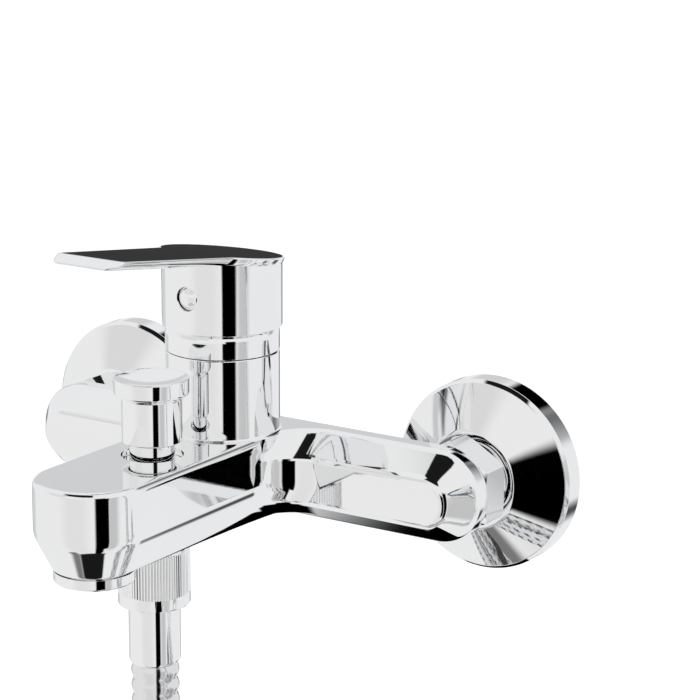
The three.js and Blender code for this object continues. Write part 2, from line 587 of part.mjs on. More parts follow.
function hoseParts() {
  const coilDepth = hose.coilTurns * hose.pitch;
  const inner = hose.coilRadius - hose.radius;
  const outer = hose.coilRadius + hose.radius;
  const clear = Math.sqrt(outer ** 2 - inner ** 2) + 1; // where a tangent stretch leaves the ring's solid
  const coilFront = diverter.y - hose.radius;
  const coilRear = diverter.y + coilDepth + hose.radius;
  const ring = alongY(tube(outer, inner, -coilRear, -coilFront, fine));
  const coilEndY = diverter.y + coilDepth;
  const bottomZ = hose.coilZ - hose.coilRadius;
  const end = onSeatAxis(shower.coneBottom - 4 - gap);
  const lead = [[0, diverter.y, hoseSleeve.bottom - gap], [0, diverter.y, -83], [0, diverter.y, hose.coilZ + clear]];
  const tail = [[hose.coilX + clear, coilEndY, bottomZ], [150, coilEndY, bottomZ + 0.6], [185, -57, bottomZ + 3],
    [216, -56, bottomZ + 14], [243, -54, bottomZ + 34], [260, -51.5, bottomZ + 62], [268, -50, bottomZ + 90],
    [end.x, end.y + 2.5, end.z - 12], [end.x, end.y, end.z]];
  const tieHalf = 6;
  const band = block(-outer - 2.4, -inner + 2.4, coilFront - 2.4, coilRear + 2.4, -tieHalf, tieHalf);
  const window = block(-outer - 0.9, -inner + 0.9, coilFront - 0.9, coilRear + 0.9, -tieHalf - 1, tieHalf + 1);
  const tie = cut(band, window).rotate([0, -45, 0]).translate([hose.coilX, 0, hose.coilZ]);
  return [
    hoseTube('hose_lead', lead, 3),
    piece('hose_coil', moved(ring, hose.coilX, 0, hose.coilZ), hoseSteel),
    hoseTube('hose_tail', tail, 14),
    piece('hose_tie', tie, strap),
  ];
}

// ---- the whole set ------------------------------------------------------------------------------
const set = new THREE.Group();
set.add(mixerBody());
set.add(wallConnection(-1, 'left'), wallConnection(1, 'right'));
set.add(placed(0, column.y, 0, ...cartridgeParts(), ...movingDisc(), ...rotorParts(), neckRing(), spindleBar(),
  ...handleParts()));
set.add(placed(0, diverter.y, 0, ...diverterParts(), outletNipple(), knurledNut(), hoseWasher(), hoseFerrule()));
set.add(placed(0, spout.tipY, 0, ...aeratorParts()));
set.add(placed(bracket.x, 0, bracket.z, ...bracketParts()));
const handShower = placed(seatPoint.x, seatPoint.y, seatPoint.z, ...handShowerParts(), hoseEndCollar());
handShower.rotation.x = leanAngle;
set.add(handShower);
set.add(...hoseParts());

export default set;
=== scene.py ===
import math
import bmesh
import bpy
from mathutils import Matrix, Vector


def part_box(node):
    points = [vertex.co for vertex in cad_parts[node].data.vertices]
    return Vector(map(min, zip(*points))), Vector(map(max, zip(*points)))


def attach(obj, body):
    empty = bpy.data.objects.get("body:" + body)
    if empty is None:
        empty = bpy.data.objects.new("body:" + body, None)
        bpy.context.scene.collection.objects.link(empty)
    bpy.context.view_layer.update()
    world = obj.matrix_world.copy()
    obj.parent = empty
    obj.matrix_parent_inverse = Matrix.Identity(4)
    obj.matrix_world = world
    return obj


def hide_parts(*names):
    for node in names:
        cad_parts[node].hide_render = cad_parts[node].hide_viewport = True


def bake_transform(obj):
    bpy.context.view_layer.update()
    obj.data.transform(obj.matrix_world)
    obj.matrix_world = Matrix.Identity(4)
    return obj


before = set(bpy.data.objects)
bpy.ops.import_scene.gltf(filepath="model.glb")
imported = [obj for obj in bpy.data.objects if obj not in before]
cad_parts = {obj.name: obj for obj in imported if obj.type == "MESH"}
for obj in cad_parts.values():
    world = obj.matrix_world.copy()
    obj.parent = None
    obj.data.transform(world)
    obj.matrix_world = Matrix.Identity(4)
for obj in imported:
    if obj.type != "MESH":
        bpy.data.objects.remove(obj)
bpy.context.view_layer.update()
mm = 0.001
turn = 2 * math.pi
scene = bpy.context.scene
print("frame loaded,", len(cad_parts), "nodes")


def box(node):
    # lowest and highest corner of a node, in millimetres
    low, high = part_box(node)
    return low / mm, high / mm


def middle(node):
    low, high = box(node)
    return (low + high) / 2


def radiusOf(node):
    low, high = box(node)
    return (high.x - low.x) / 2


# camera
cameraSet = {
    "target": (0.0547, -0.060, 0.0515),
    "azimuth": 32.76,
    "elevation": 14.02,
    "roll": 0.28,
    "distance": 0.8406,
    "lens": 134.0,
    "sensor": 36.0,
}


def makeCamera(look):
    azimuth = math.radians(look["azimuth"])
    elevation = math.radians(look["elevation"])
    flat = math.cos(elevation)
    back = Vector((math.sin(azimuth) * flat, -math.cos(azimuth) * flat, math.sin(elevation)))
    data = bpy.data.cameras.new("studioCamera")
    data.lens = look["lens"]
    data.sensor_width = look["sensor"]
    data.clip_start = 0.01
    data.clip_end = 60
    camera = bpy.data.objects.new("studioCamera", data)
    facing = (-back).to_track_quat("-Z", "Y").to_matrix().to_4x4()
    level = Matrix.Rotation(math.radians(look["roll"]), 4, "Z")
    spot = Matrix.Translation(Vector(look["target"]) + back * look["distance"])
    camera.matrix_world = spot @ facing @ level
    scene.collection.objects.link(camera)
    scene.camera = camera


makeCamera(cameraSet)
print("camera in place")


# shader writing
class Wire:
    def __init__(self, graph, socket):
        self.graph = graph
        self.socket = socket

    def maths(self, operation, other, flipped=False):
        pair = (other, self) if flipped else (self, other)
        return self.graph.node("ShaderNodeMath", {"operation": operation}, {0: pair[0], 1: pair[1]})

    def out(self, name):
        return Wire(self.graph, self.socket.node.outputs[name])

    def __add__(self, other):
        return self.maths("ADD", other)

    __radd__ = __add__

    def __sub__(self, other):
        return self.maths("SUBTRACT", other)

    def __rsub__(self, other):
        return self.maths("SUBTRACT", other, True)

    def __mul__(self, other):
        return self.maths("MULTIPLY", other)

    __rmul__ = __mul__


class Graph:
    def __init__(self, tree):
        tree.nodes.clear()
        self.tree = tree

    def node(self, kind, settings=None, sockets=None, out=0):
        made = self.tree.nodes.new(kind)
        for key, value in (settings or {}).items():
            setattr(made, key, value)
        for key, value in (sockets or {}).items():
            if isinstance(value, Wire):
                self.tree.links.new(value.socket, made.inputs[key])
            else:
                made.inputs[key].default_value = value
        return Wire(self, made.outputs[out]) if len(made.outputs) else made

    def blend(self, factor, first, second):
        settings = {"data_type": "RGBA"}
        return self.node("ShaderNodeMix", settings, {0: factor, 6: first, 7: second}, out=2)

    def smooth(self, value, low, high):
        # rises softly from 0 at low to 1 at high
        sockets = {"Value": value, "From Min": low, "From Max": high}
        return self.node("ShaderNodeMapRange", {"interpolation_type": "SMOOTHSTEP"}, sockets)

    def surface(self, sockets):
        shader = self.node("ShaderNodeBsdfPrincipled", None, sockets)
        self.node("ShaderNodeOutputMaterial", None, {"Surface": shader})


def opaque(colour):
    return (*colour, 1.0)


def newMaterial(name):
    material = bpy.data.materials.new(name)
    material.use_nodes = True
    return material, Graph(material.node_tree)


def newFinish(name, look):
    # colour drifts between two tones, and roughness and bump follow a coarse and a fine grain
    look = {**finishBase, **look}
    material, graph = newMaterial(name)
    place = graph.node("ShaderNodeTexCoord", out="Object")
    stretch = look.get("stretch", (1, 1, 1))
    laid = graph.node("ShaderNodeMapping", None, {"Vector": place, "Scale": stretch})
    drift = graph.node("ShaderNodeTexNoise", None,
                       {"Vector": place, "Scale": look["driftScale"], "Detail": 3.0}, out="Fac")
    grain = graph.node("ShaderNodeTexNoise", None,
                       {"Vector": laid, "Scale": look["grainScale"], "Detail": 4.0}, out="Fac")
    colour = graph.blend(drift, opaque(look["tone"]), opaque(look["otherTone"]))
    rough = look["rough"] + look["haze"] * drift + look["scuff"] * grain
    bump = graph.node("ShaderNodeBump", None,
                      {"Height": grain, "Strength": look["bump"], "Distance": look["relief"]}, out="Normal")
    sockets = {"Base Color": colour, "Roughness": rough, "Normal": bump, "Metallic": look["metal"]}
    sockets.update(look.get("extra", {}))
    graph.surface(sockets)
    return material


def newWeave(name, look):
    # a narrow tape: ribs across it and a row of fine hooks
    material, graph = newMaterial(name)
    place = graph.node("ShaderNodeTexCoord", out="UV")
    waves = []
    for direction, scale, distortion in (("X", look["ribs"], 0.6), ("Y", look["threads"], 0.4)):
        sockets = {"Vector": place, "Scale": scale, "Distortion": distortion, "Detail": 1.0}
        waves.append(graph.node("ShaderNodeTexWave", {"bands_direction": direction}, sockets, out="Fac"))
    cloth = waves[0] * waves[1]
    colour = graph.blend(cloth, opaque(look["tone"]), opaque(look["otherTone"]))
    bump = graph.node("ShaderNodeBump", None,
                      {"Height": cloth, "Strength": 0.7, "Distance": 0.0004}, out="Normal")
    sockets = {"Base Color": colour, "Roughness": 0.95 - 0.15 * cloth, "Normal": bump, "Sheen Weight": 0.3}
    graph.surface(sockets)
    return material


finishBase = {"metal": 0.0, "haze": 0.1, "scuff": 0.1, "bump": 0.2, "relief": 0.00005}
finishes = {
    "chrome": newFinish("polishedChrome", {
        "tone": (0.93, 0.935, 0.94), "otherTone": (0.90, 0.905, 0.912), "metal": 1.0, "rough": 0.025,
        "haze": 0.02, "scuff": 0.01, "driftScale": 22, "grainScale": 900, "bump": 0.03,
        "relief": 0.00002}),
    "chromedPlastic": newFinish("chromedPlastic", {
        "tone": (0.90, 0.90, 0.90), "otherTone": (0.86, 0.86, 0.865), "metal": 1.0, "rough": 0.04,
        "haze": 0.03, "scuff": 0.015, "driftScale": 30, "grainScale": 500, "bump": 0.05,
        "relief": 0.00003}),
    "brass": newFinish("machinedBrass", {
        "tone": (0.78, 0.62, 0.34), "otherTone": (0.68, 0.52, 0.27), "metal": 1.0, "rough": 0.22,
        "haze": 0.12, "scuff": 0.08, "driftScale": 60, "grainScale": 700, "stretch": (1, 1, 9)}),
    "steel": newFinish("turnedSteel", {
        "tone": (0.66, 0.66, 0.67), "otherTone": (0.56, 0.56, 0.58), "metal": 1.0, "rough": 0.2,
        "scuff": 0.08, "driftScale": 80, "grainScale": 900, "stretch": (1, 8, 1), "relief": 0.00004}),
    "blackInlay": newFinish("satinBlackInlay", {
        "tone": (0.010, 0.010, 0.0105), "otherTone": (0.014, 0.014, 0.0145), "rough": 0.42, "haze": 0.06,
        "scuff": 0.05, "driftScale": 35, "grainScale": 2600, "bump": 0.15, "relief": 0.00003,
        "extra": {"IOR": 1.06, "Specular IOR Level": 0.2}}),
    "greyPlastic": newFinish("greyMouldedPlastic", {
        "tone": (0.42, 0.43, 0.44), "otherTone": (0.37, 0.38, 0.39), "rough": 0.45, "driftScale": 60,
        "grainScale": 1500}),
    "whitePlastic": newFinish("whiteMouldedPlastic", {
        "tone": (0.83, 0.83, 0.81), "otherTone": (0.77, 0.77, 0.74), "rough": 0.4, "driftScale": 60,
        "grainScale": 1500}),
    "ceramic": newFinish("lappedCeramic", {
        "tone": (0.86, 0.85, 0.81), "otherTone": (0.81, 0.80, 0.76), "rough": 0.16, "haze": 0.08,
        "scuff": 0.05, "driftScale": 90, "grainScale": 1800, "bump": 0.05, "relief": 0.00002}),
    "rubber": newFinish("mouldedRubber", {
        "tone": (0.02, 0.02, 0.021), "otherTone": (0.032, 0.032, 0.033), "rough": 0.6, "haze": 0.15,
        "driftScale": 70, "grainScale": 1300, "bump": 0.3, "relief": 0.00008}),
    "face": newFinish("blueGreyFace", {
        "tone": (0.20, 0.27, 0.34), "otherTone": (0.16, 0.225, 0.29), "metal": 0.35, "rough": 0.36,
        "haze": 0.08, "driftScale": 40, "grainScale": 1800, "bump": 0.15, "relief": 0.00004}),
    "nozzle": newFinish("greenSilicone", {
        "tone": (0.02, 0.19, 0.12), "otherTone": (0.035, 0.25, 0.16), "rough": 0.45, "driftScale": 120,
        "grainScale": 1500}),
    "hose": newFinish("woundSteelStrip", {
        "tone": (0.86, 0.86, 0.865), "otherTone": (0.78, 0.78, 0.79), "metal": 1.0, "rough": 0.07,
        "haze": 0.06, "scuff": 0.04, "driftScale": 50, "grainScale": 900, "bump": 0.06,
        "relief": 0.00003}),
    "strap": newWeave("wovenStrap", {
        "tone": (0.018, 0.018, 0.02), "otherTone": (0.06, 0.06, 0.065), "ribs": 60, "threads": 9}),
}
print("finishes made,", len(finishes))


# mesh helpers, in millimetres until a piece is finished
def smoothShade(mesh, sharp):
    mesh.polygons.foreach_set("use_smooth", [True] * len(mesh.polygons))
    mesh.set_sharp_from_angle(angle=math.radians(sharp))


def linked(name, bm):
    mesh = bpy.data.meshes.new(name)
    bm.to_mesh(mesh)
    bm.free()
    made = bpy.data.objects.new(name, mesh)
    scene.collection.objects.link(made)
    return made


def cleaned(bm):
    bmesh.ops.remove_doubles(bm, verts=bm.verts, dist=0.002)
    bmesh.ops.recalc_face_normals(bm, faces=bm.faces)
    return bm


def toObject(name, bm):
    return linked(name, cleaned(bm))


def combine(target, bm, operation):
    # the second shape is used up: joined to target or taken out of it
    other = toObject("second", bm)
    modifier = target.modifiers.new("combine", "BOOLEAN")
    modifier.operation = operation
    modifier.solver = "EXACT"
    modifier.object = other
    graph = bpy.context.evaluated_depsgraph_get()
    mesh = bpy.data.meshes.new_from_object(target.evaluated_get(graph))
    target.modifiers.clear()
    target.data = mesh
    bpy.data.objects.remove(other)


def finishPiece(piece, finish, body, node, place=None, sharp=30):
    scale = Matrix.Scale(mm, 4)
    piece.data.transform(scale @ place if place else scale)
    smoothShade(piece.data, sharp)
    piece.data.materials.clear()
    piece.data.materials.append(finishes[finish])
    weighted = piece.modifiers.new("evenShading", "WEIGHTED_NORMAL")
    weighted.keep_sharp = True
    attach(piece, body)
    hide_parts(node)


def chromed(piece, node, place=None, sharp=30, body="mixer", finish="chrome"):
    finishPiece(piece, finish, body, node, place, sharp)


def ringEdges(bm, least):
    # edges of the rings round Z where the surface turns by more than least degrees
    limit = math.radians(least)
    return [e for e in bm.edges if len(e.link_faces) == 2 and e.calc_face_angle() > limit
            and abs(e.verts[0].co.z - e.verts[1].co.z) < 0.001]


def spun(profile, rounding=0.0, sides=96, least=24, segments=3):
    bm = bmesh.new()
    dots = [bm.verts.new((radius, 0, z)) for radius, z in profile]
    for first, second in zip(dots, dots[1:]):
        bm.edges.new((first, second))
    bmesh.ops.spin(bm, geom=bm.verts[:] + bm.edges[:], cent=(0, 0, 0), axis=(0, 0, 1),
                   dvec=(0, 0, 0), angle=turn, steps=sides, use_merge=True)
    cleaned(bm)
    if rounding:
        bmesh.ops.bevel(bm, geom=ringEdges(bm, least), offset=rounding, segments=segments, profile=0.5,
                        affect="EDGES", material=-1, clamp_overlap=True)
    return bm


def rod(radius, low, high, sides=64):
    return spun([(0, low), (radius, low), (radius, high), (0, high)], sides=sides)


def loft(rings, closed=False, caps=True):
    # rings of the same number of points, grown one from the next
    bm = bmesh.new()
    last = [bm.verts.new(p) for p in rings[0]]
    edges = [bm.edges.new(pair) for pair in zip(last, last[1:] + last[:1])]
    if caps and not closed:
        bm.faces.new(last)
    for ring in rings[1:] + ([rings[0]] if closed else []):
        grown = bmesh.ops.extrude_edge_only(bm, edges=edges)["geom"]
        place = {vert: index for index, vert in enumerate(last)}
        fresh = {g for g in grown if isinstance(g, bmesh.types.BMVert)}
        order = [None] * len(last)
        for vert in fresh:
            for edge in vert.link_edges:
                index = place.get(edge.other_vert(vert))
                if index is not None:
                    order[index] = vert
        for vert, point in zip(order, ring):
            vert.co = point
        edges = [g for g in grown if isinstance(g, bmesh.types.BMEdge)
                 and g.verts[0] in fresh and g.verts[1] in fresh]
        last = order
    if caps and not closed:
        bm.faces.new(last)
    return bm


def placeAt(bm, matrix):
    bmesh.ops.transform(bm, matrix=matrix, verts=bm.verts)
    return bm


def cutAway(bm, at, normal):
    # takes away what lies past the plane and closes the cut
    geometry = bm.verts[:] + bm.edges[:] + bm.faces[:]
    bmesh.ops.bisect_plane(bm, geom=geometry, plane_co=at, plane_no=normal, clear_outer=True)
    bmesh.ops.holes_fill(bm, edges=[e for e in bm.edges if e.is_boundary])


def roundBox(size, centre, rounding, segments=3):
    bm = bmesh.new()
    bmesh.ops.create_cube(bm, size=1)
    bmesh.ops.scale(bm, vec=size, verts=bm.verts)
    if rounding:
        bmesh.ops.bevel(bm, geom=bm.edges[:], offset=rounding, segments=segments, profile=0.5,
                        affect="EDGES", material=-1)
    bmesh.ops.translate(bm, vec=centre, verts=bm.verts)
    return bm


def move(x, y, z):
    return Matrix.Translation((x, y, z))


towardRoom = Matrix.Rotation(math.radians(90), 4, "X")  # Z of a turned shape comes to face the room

# hose: the cord comes first
hoseSet = {
    "radius": 8.0,
    "groove": 7.25,
    "pitch": 5.4,
    "sides": 20,
    "coilRadius": 80,
    "coilCentre": (80, -162),
    "coilTurns": 2.25,
    "turnShift": 16.3,
    "coilSteps": 24,
    "length": 1.5,
    "exit": (0, -93.9, -55.7),
    "lead": [(0, -93.9, -69), (0, -93.9, -83), (0, -93.9, -97), (0, -93.9, -110.4), (0, -93.9, -128),
             (0, -93.9, -145)],
    "tail": [(92, -57.2, -242), (112, -57.2, -242), (131.6, -57.2, -242), (150, -57.2, -241.4),
             (168, -57.1, -240.8), (185, -57, -239), (201, -56.6, -234.6), (216, -56, -228),
             (230.5, -55.1, -219), (243, -54, -208), (252.8, -52.8, -194.8), (260, -51.5, -180),
             (265, -50.6, -166), (268, -50, -152), (270, -48.7, -144.9), (270, -51.2, -132.9)],
}


def hoseRoute(look):
    points = [look["exit"], *look["lead"]]
    centreX, centreZ = look["coilCentre"]
    front = look["exit"][1]
    for step in range(round(look["coilTurns"] * look["coilSteps"]) + 1):
        angle = step * turn / look["coilSteps"]
        x = centreX - look["coilRadius"] * math.cos(angle)
        z = centreZ - look["coilRadius"] * math.sin(angle)
        points.append((x, front + look["turnShift"] * angle / turn, z))
    return [Vector(p) for p in points + look["tail"]]


def throughPoints(points, step):
    # a smooth curve through the points, then walked along in equal steps
    dense = []
    ends = [points[0] * 2 - points[1], *points, points[-1] * 2 - points[-2]]
    for before, start, end, after in zip(ends, ends[1:], ends[2:], ends[3:]):
        span = (end - start).length
        leaving = (end - before) / ((end - start).length + (start - before).length) * span
        coming = (after - start) / ((end - start).length + (after - end).length) * span
        for part in range(12):
            t = part / 12
            a = 2 * t ** 3 - 3 * t ** 2 + 1
            b = t ** 3 - 2 * t ** 2 + t
            c = t ** 3 - t ** 2
            dense.append(start * a + leaving * b + end * (1 - a) + coming * c)
    dense.append(points[-1])
    total = sum((q - p).length for p, q in zip(dense, dense[1:]))
    count = round(total / step)
    walked, run, at = [dense[0]], 0.0, 1
    for index in range(1, count):
        wanted = index * total / count
        while run + (dense[at] - dense[at - 1]).length < wanted:
            run += (dense[at] - dense[at - 1]).length
            at += 1
        share = (wanted - run) / (dense[at] - dense[at - 1]).length
        walked.append(dense[at - 1].lerp(dense[at], share))
    return [*walked, dense[-1]]


def makeHose(look):
    centre = throughPoints(hoseRoute(look), look["pitch"] / 5)
    swell = [0.0, 0.62, 0.94, 0.94, 0.62]  # a ring's rise above the groove at its five stations
    rings = []
    side = Vector((1, 0, 0))
    for index, point in enumerate(centre):
        ahead = (centre[min(index + 1, len(centre) - 1)] - centre[max(index - 1, 0)]).normalized()
        side = (side - ahead * side.dot(ahead)).normalized()
        other = ahead.cross(side)
        radius = look["groove"] + (look["radius"] - look["groove"]) * swell[index % 5] / 0.94
        ring = []
        for part in range(look["sides"]):
            angle = part * turn / look["sides"]
            ring.append(point + (side * math.cos(angle) + other * math.sin(angle)) * radius)
        rings.append(ring)
    hose = toObject("shower_hose", loft(rings))
    hose.data.transform(Matrix.Scale(mm, 4))
    smoothShade(hose.data, 50)
    hose.data.materials.append(finishes["hose"])
    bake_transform(hose)
    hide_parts("hose_lead", "hose_coil", "hose_tail")
    return hose, [tuple(point * mm) for point in centre]


# hose tie
tieSet = {"wide": 12, "thick": 1.3, "gap": 1.0, "edge": 0.35, "corner": 6, "angle": 45, "cornerSteps": 8}


def tieLoop(halfHigh, halfDeep, corner, steps):
    points = []
    for quarter, (sx, sy) in enumerate([(1, 1), (-1, 1), (-1, -1), (1, -1)]):
        for step in range(steps + 1):
            angle = (quarter + step / steps) * turn / 4
            points.append((sx * (halfHigh - corner) + corner * math.cos(angle),
                           sy * (halfDeep - corner) + corner * math.sin(angle)))
    return points


def makeTie(look):
    hose = hoseSet
    halfHigh = hose["radius"] + look["gap"]
    halfDeep = (hose["coilTurns"] * hose["turnShift"]) / 2 + hose["radius"] + look["gap"]
    depthMiddle = hose["exit"][1] + hose["coilTurns"] * hose["turnShift"] / 2
    half, edge, thick = look["wide"] / 2, look["edge"], look["thick"]

    def loop(out, back):
        return tieLoop(halfHigh + out - back, halfDeep + out - back, look["corner"], look["cornerSteps"])

    inner, outer, between = loop(0, 0), loop(thick, 0), loop(thick, edge)
    order = [(inner, -half), (between, -half), (outer, -half + edge), (outer, half - edge),
             (between, half), (inner, half)]
    rings = [[(x, y, z) for x, y in shape] for shape, z in order]
    bm = loft(rings, closed=True)
    layer = bm.loops.layers.uv.new("UVMap")
    for face in bm.faces:
        for corner in face.loops:
            x, y, z = corner.vert.co
            corner[layer].uv = ((x + y) * 0.02, z / look["wide"])
    tie = toObject("hose_tie_strap", bm)
    centreX, centreZ = hose["coilCentre"]
    # the loop stands round the coil's turns, where they run down to the left
    outward = Matrix.Rotation(math.radians(180 - look["angle"]), 4, "Y")
    place = move(centreX, depthMiddle, centreZ) @ outward @ move(hose["coilRadius"], 0, 0)
    finishPiece(tie, "strap", "mixer", "hose_tie", place, sharp=40)
    return tie


hose, hosePath = makeHose(hoseSet)
tie = makeTie(tieSet)
print("hose laid and tied")


# body casting
bodySet = {
    "flatRadius": 7.9,
    "chamferStart": -37.9,
    "chamferDepth": 10.0,
    "creaseSoft": 1.3,
    "armRound": 1.1,
    "spoutRound": 2.0,
    "sideBottom": -2.0,
    "sideSoft": 1.8,
    "spoutBottom": -14.0,
    "bottomRound": 0.6,
    "footRadius": 13.3,
    "fillet": 16.0,
    "columnFoot": 0.9,
    "recessRadius": 10.3,
    "recessFloor": 12.8,
    "chamberRadius": 8.6,
    "outletRadius": 7.0,
    "inletRadius": 8.5,
    "endRadii": [0, 2, 4, 5.6, 6.6, 7.2, 7.9, 8.6, 9.2, 10.4, 12, 13.6, 14.8, 15.2, 15.5, 15.75, 15.9],
}


def softStep(value, slope, soft):
    # zero before -soft, slope * value after soft, and a parabola between
    if value <= -soft:
        return 0.0
    if value >= soft:
        return slope * value
    return slope * (value + soft) ** 2 / (4 * soft)


def rounded(value, limit, radius):
    # how far a rounded edge has turned in, at value, when it ends at limit
    past = value - (limit - radius)
    if past <= 0:
        return 0.0
    return radius - math.sqrt(max(radius ** 2 - past ** 2, 0.0))


def makeBody(look):
    low, high = box("mixer_body")
    armRadius, inletX, rear = -low.z, high.x + low.z, high.y
    tipY = middle("aerator_shell").y
    halfWidth = tipY - low.y
    top = armRadius
    front = look["chamferStart"] - look["chamferDepth"]
    slope = look["chamferDepth"] / (armRadius - look["flatRadius"])

    def armFront(rho):
        lean = softStep(rho - look["flatRadius"], slope, look["creaseSoft"])
        return front + lean + rounded(rho, armRadius, look["armRound"])

    def spoutHalf(z):
        taper = (halfWidth - look["footRadius"]) / (look["sideBottom"] - look["spoutBottom"])
        foot = rounded(-z, -look["spoutBottom"], look["bottomRound"])
        return halfWidth - softStep(look["sideBottom"] - z, taper, look["sideSoft"]) - foot

    tipSteps, filletSteps, sideSteps = 24, 18, 5

    def outline(z, withSpout):
        frontHere = armFront(abs(z))
        inset = rounded(z, top, look["spoutRound"])
        armInset = rounded(abs(z), armRadius, look["armRound"])
        half = spoutHalf(z) - inset
        centreX = spoutHalf(z) + look["fillet"]
        centreY = frontHere - armInset - look["fillet"]
        right = []
        for step in range(tipSteps + 1):
            angle = (step / tipSteps - 1) * turn / 4
            right.append((half * math.cos(angle), tipY + half * math.sin(angle)))
        for step in range(1, sideSteps):
            right.append((half, tipY + (centreY - tipY) * step / sideSteps))
        for step in range(filletSteps + 1):
            share = step / filletSteps
            angle = (1 - share / 2) * turn / 2
            radius = look["fillet"] + inset + (armInset - inset) * share
            right.append((centreX + radius * math.cos(angle), centreY + radius * math.sin(angle)))
        if not withSpout:
            count = len(right) - 1
            right = [(right[-1][0] * index / count, frontHere) for index in range(count + 1)]
        right += [((right[-1][0] + inletX) / 2, frontHere), (inletX, frontHere), (inletX, rear - 2),
                  (inletX, rear)]
        left = [(-x, y) for x, y in reversed(right[1:])]
        return [(x, y, z) for x, y in right + [(0, rear)] + left]

    levels = {armRadius * math.sin(math.radians(angle)) for angle in range(-90, 91, 6)}
    levels |= {side * radius for radius in look["endRadii"] for side in (-1, 1)}
    for edge, soft in ((look["sideBottom"], look["sideSoft"]), (look["flatRadius"], look["creaseSoft"]),
                       (-look["flatRadius"], look["creaseSoft"])):
        levels |= {edge + soft * share for share in (-1, -0.5, 0, 0.5, 1)}
    levels |= {top - look["spoutRound"] * (1 - math.sin(math.radians(angle))) for angle in range(0, 91, 15)}
    levels |= {look["spoutBottom"] + look["bottomRound"] * share for share in (0, 0.3, 1)}
    ordered = []
    for level in sorted(levels):
        if not ordered or level - ordered[-1] > 0.04:
            ordered.append(level)
    bottom = min(ordered, key=lambda level: abs(level - look["spoutBottom"]))
    rings = [outline(z, False) for z in ordered if z <= bottom]
    rings += [outline(z, True) for z in ordered if z >= bottom]
    bm = cleaned(loft(rings))
    wide = [f for f in bm.faces if len(f.verts) > 20]
    bmesh.ops.inset_region(bm, faces=wide, thickness=0.25, use_even_offset=True)
    body = toObject("mixer_casting", bm)

    # the arms' round ends, turned about the inlets
    endProfile = [(radius, -armFront(radius)) for radius in look["endRadii"]]
    endProfile = [*endProfile, (armRadius, -rear), (0, -rear)]
    for side in (-1, 1):
        end = spun(endProfile, sides=128)
        cutAway(end, (0, 0, 0), (-side, 0, 0))
        placeAt(end, move(side * inletX, 0, 0) @ towardRoom)
        combine(body, end, "UNION")

    # the column with its small foot fillet
    centre = middle("neck_ring")
    columnRadius = radiusOf("neck_ring")
    foot = look["columnFoot"]
    profile = [(0, 6), (columnRadius, 6)]
    for step in range(7):
        angle = step / 6 * turn / 4
        profile.append((columnRadius + foot * (1 - math.sin(angle)), top + foot * (1 - math.cos(angle))))
    profile[2] = (columnRadius + foot, top - 0.3)
    profile += [(columnRadius, high.z - 0.3), (columnRadius - 0.3, high.z), (17.6, high.z), (17.6, 30),
                (0, 30)]
    column = placeAt(spun(profile, sides=128), move(0, centre.y, 0))
    combine(body, column, "UNION")

    knobY = middle("diverter_knob").y
    recess = placeAt(rod(look["recessRadius"], look["recessFloor"], top + 2, 96), move(0, knobY, 0))
    combine(body, recess, "DIFFERENCE")
    chamber = placeAt(rod(look["chamberRadius"], -13, top + 1, 64), move(0, knobY, 0))
    combine(body, chamber, "DIFFERENCE")
    outlet = placeAt(rod(look["outletRadius"], look["spoutBottom"] - 3, 0, 64), move(0, tipY, 0))
    combine(body, outlet, "DIFFERENCE")
    for side in (-1, 1):
        inlet = placeAt(rod(look["inletRadius"], 1, 14, 64), move(side * inletX, rear + 6, 0) @ towardRoom)
        combine(body, inlet, "DIFFERENCE")
    chromed(body, "mixer_body", sharp=32)


makeBody(bodySet)
print("body cast")


# column top, handle and lever
pivotHeight = 41.5
neckSet = {"bore": 13.4, "sphere": 21.0, "shoulder": 48.4, "steps": 8}


def makeNeck(look):
    low, high = box("neck_ring")
    radius = radiusOf("neck_ring")
    bore, shoulder = look["bore"], look["shoulder"]
    profile = [(bore, low.z), (radius, low.z)]
    for step in range(look["steps"] + 1):
        z = shoulder + (high.z - shoulder) * step / look["steps"]
        profile.append((min(radius, math.sqrt(look["sphere"] ** 2 - (z - pivotHeight) ** 2)), z))
    profile += [(bore, high.z), (bore, low.z)]
    bm = placeAt(spun(profile, 0.25, 128, 40), move(0, middle("neck_ring").y, 0))
    chromed(toObject("column_neck_ring", bm), "neck_ring")


handleSet = {
    "slope": 8.3,
    "axisTop": 76.6,
    "disc": 21.1,
    "rootHalf": 15.5,
    "tipHalf": 13.1,
    "length": 76.0,
    "corner": 1.6,
    "joinsAt": 14,
    "stations": (22, 34, 46, 58),
    "arcSteps": 72,
    "cornerSteps": 4,
    "recessDepth": 0.7,
    "inlayGap": 0.08,
    "skirtRadius": 20.2,
    "skirtTop": 84,
    "skirtCut": (0, 0, -1.3),
    "hollowRadius": 21.4,
    "plugHole": (4.15, 15.6, 26),
}


def keyhole(look, discIn, sideIn, tipIn, height):
    # the handle's outline in the lever's own plane: a disc with a tapering lever towards the room
    disc = look["disc"] - discIn
    taper = (look["rootHalf"] - look["tipHalf"]) / look["length"]
    start = math.asin((look["rootHalf"] - look["joinsAt"] * taper - sideIn) / disc)
    points = []
    for step in range(look["arcSteps"] + 1):
        angle = -turn / 4 + start + (turn - 2 * start) * step / look["arcSteps"]
        points.append((disc * math.cos(angle), disc * math.sin(angle)))
    tip = look["length"] - tipIn
    corner = look["corner"]
    side = []
    for along in look["stations"]:
        side.append((look["rootHalf"] - along * taper - sideIn, -along))
    tipHalf = look["rootHalf"] - tip * taper - sideIn
    for step in range(look["cornerSteps"] + 1):
        angle = step / look["cornerSteps"] * turn / 4
        side.append((tipHalf - corner * (1 - math.cos(angle)), -tip + corner * (1 - math.sin(angle))))
    points += [(-x, y) for x, y in side] + list(reversed(side))
    return [(x, y, height) for x, y in points]


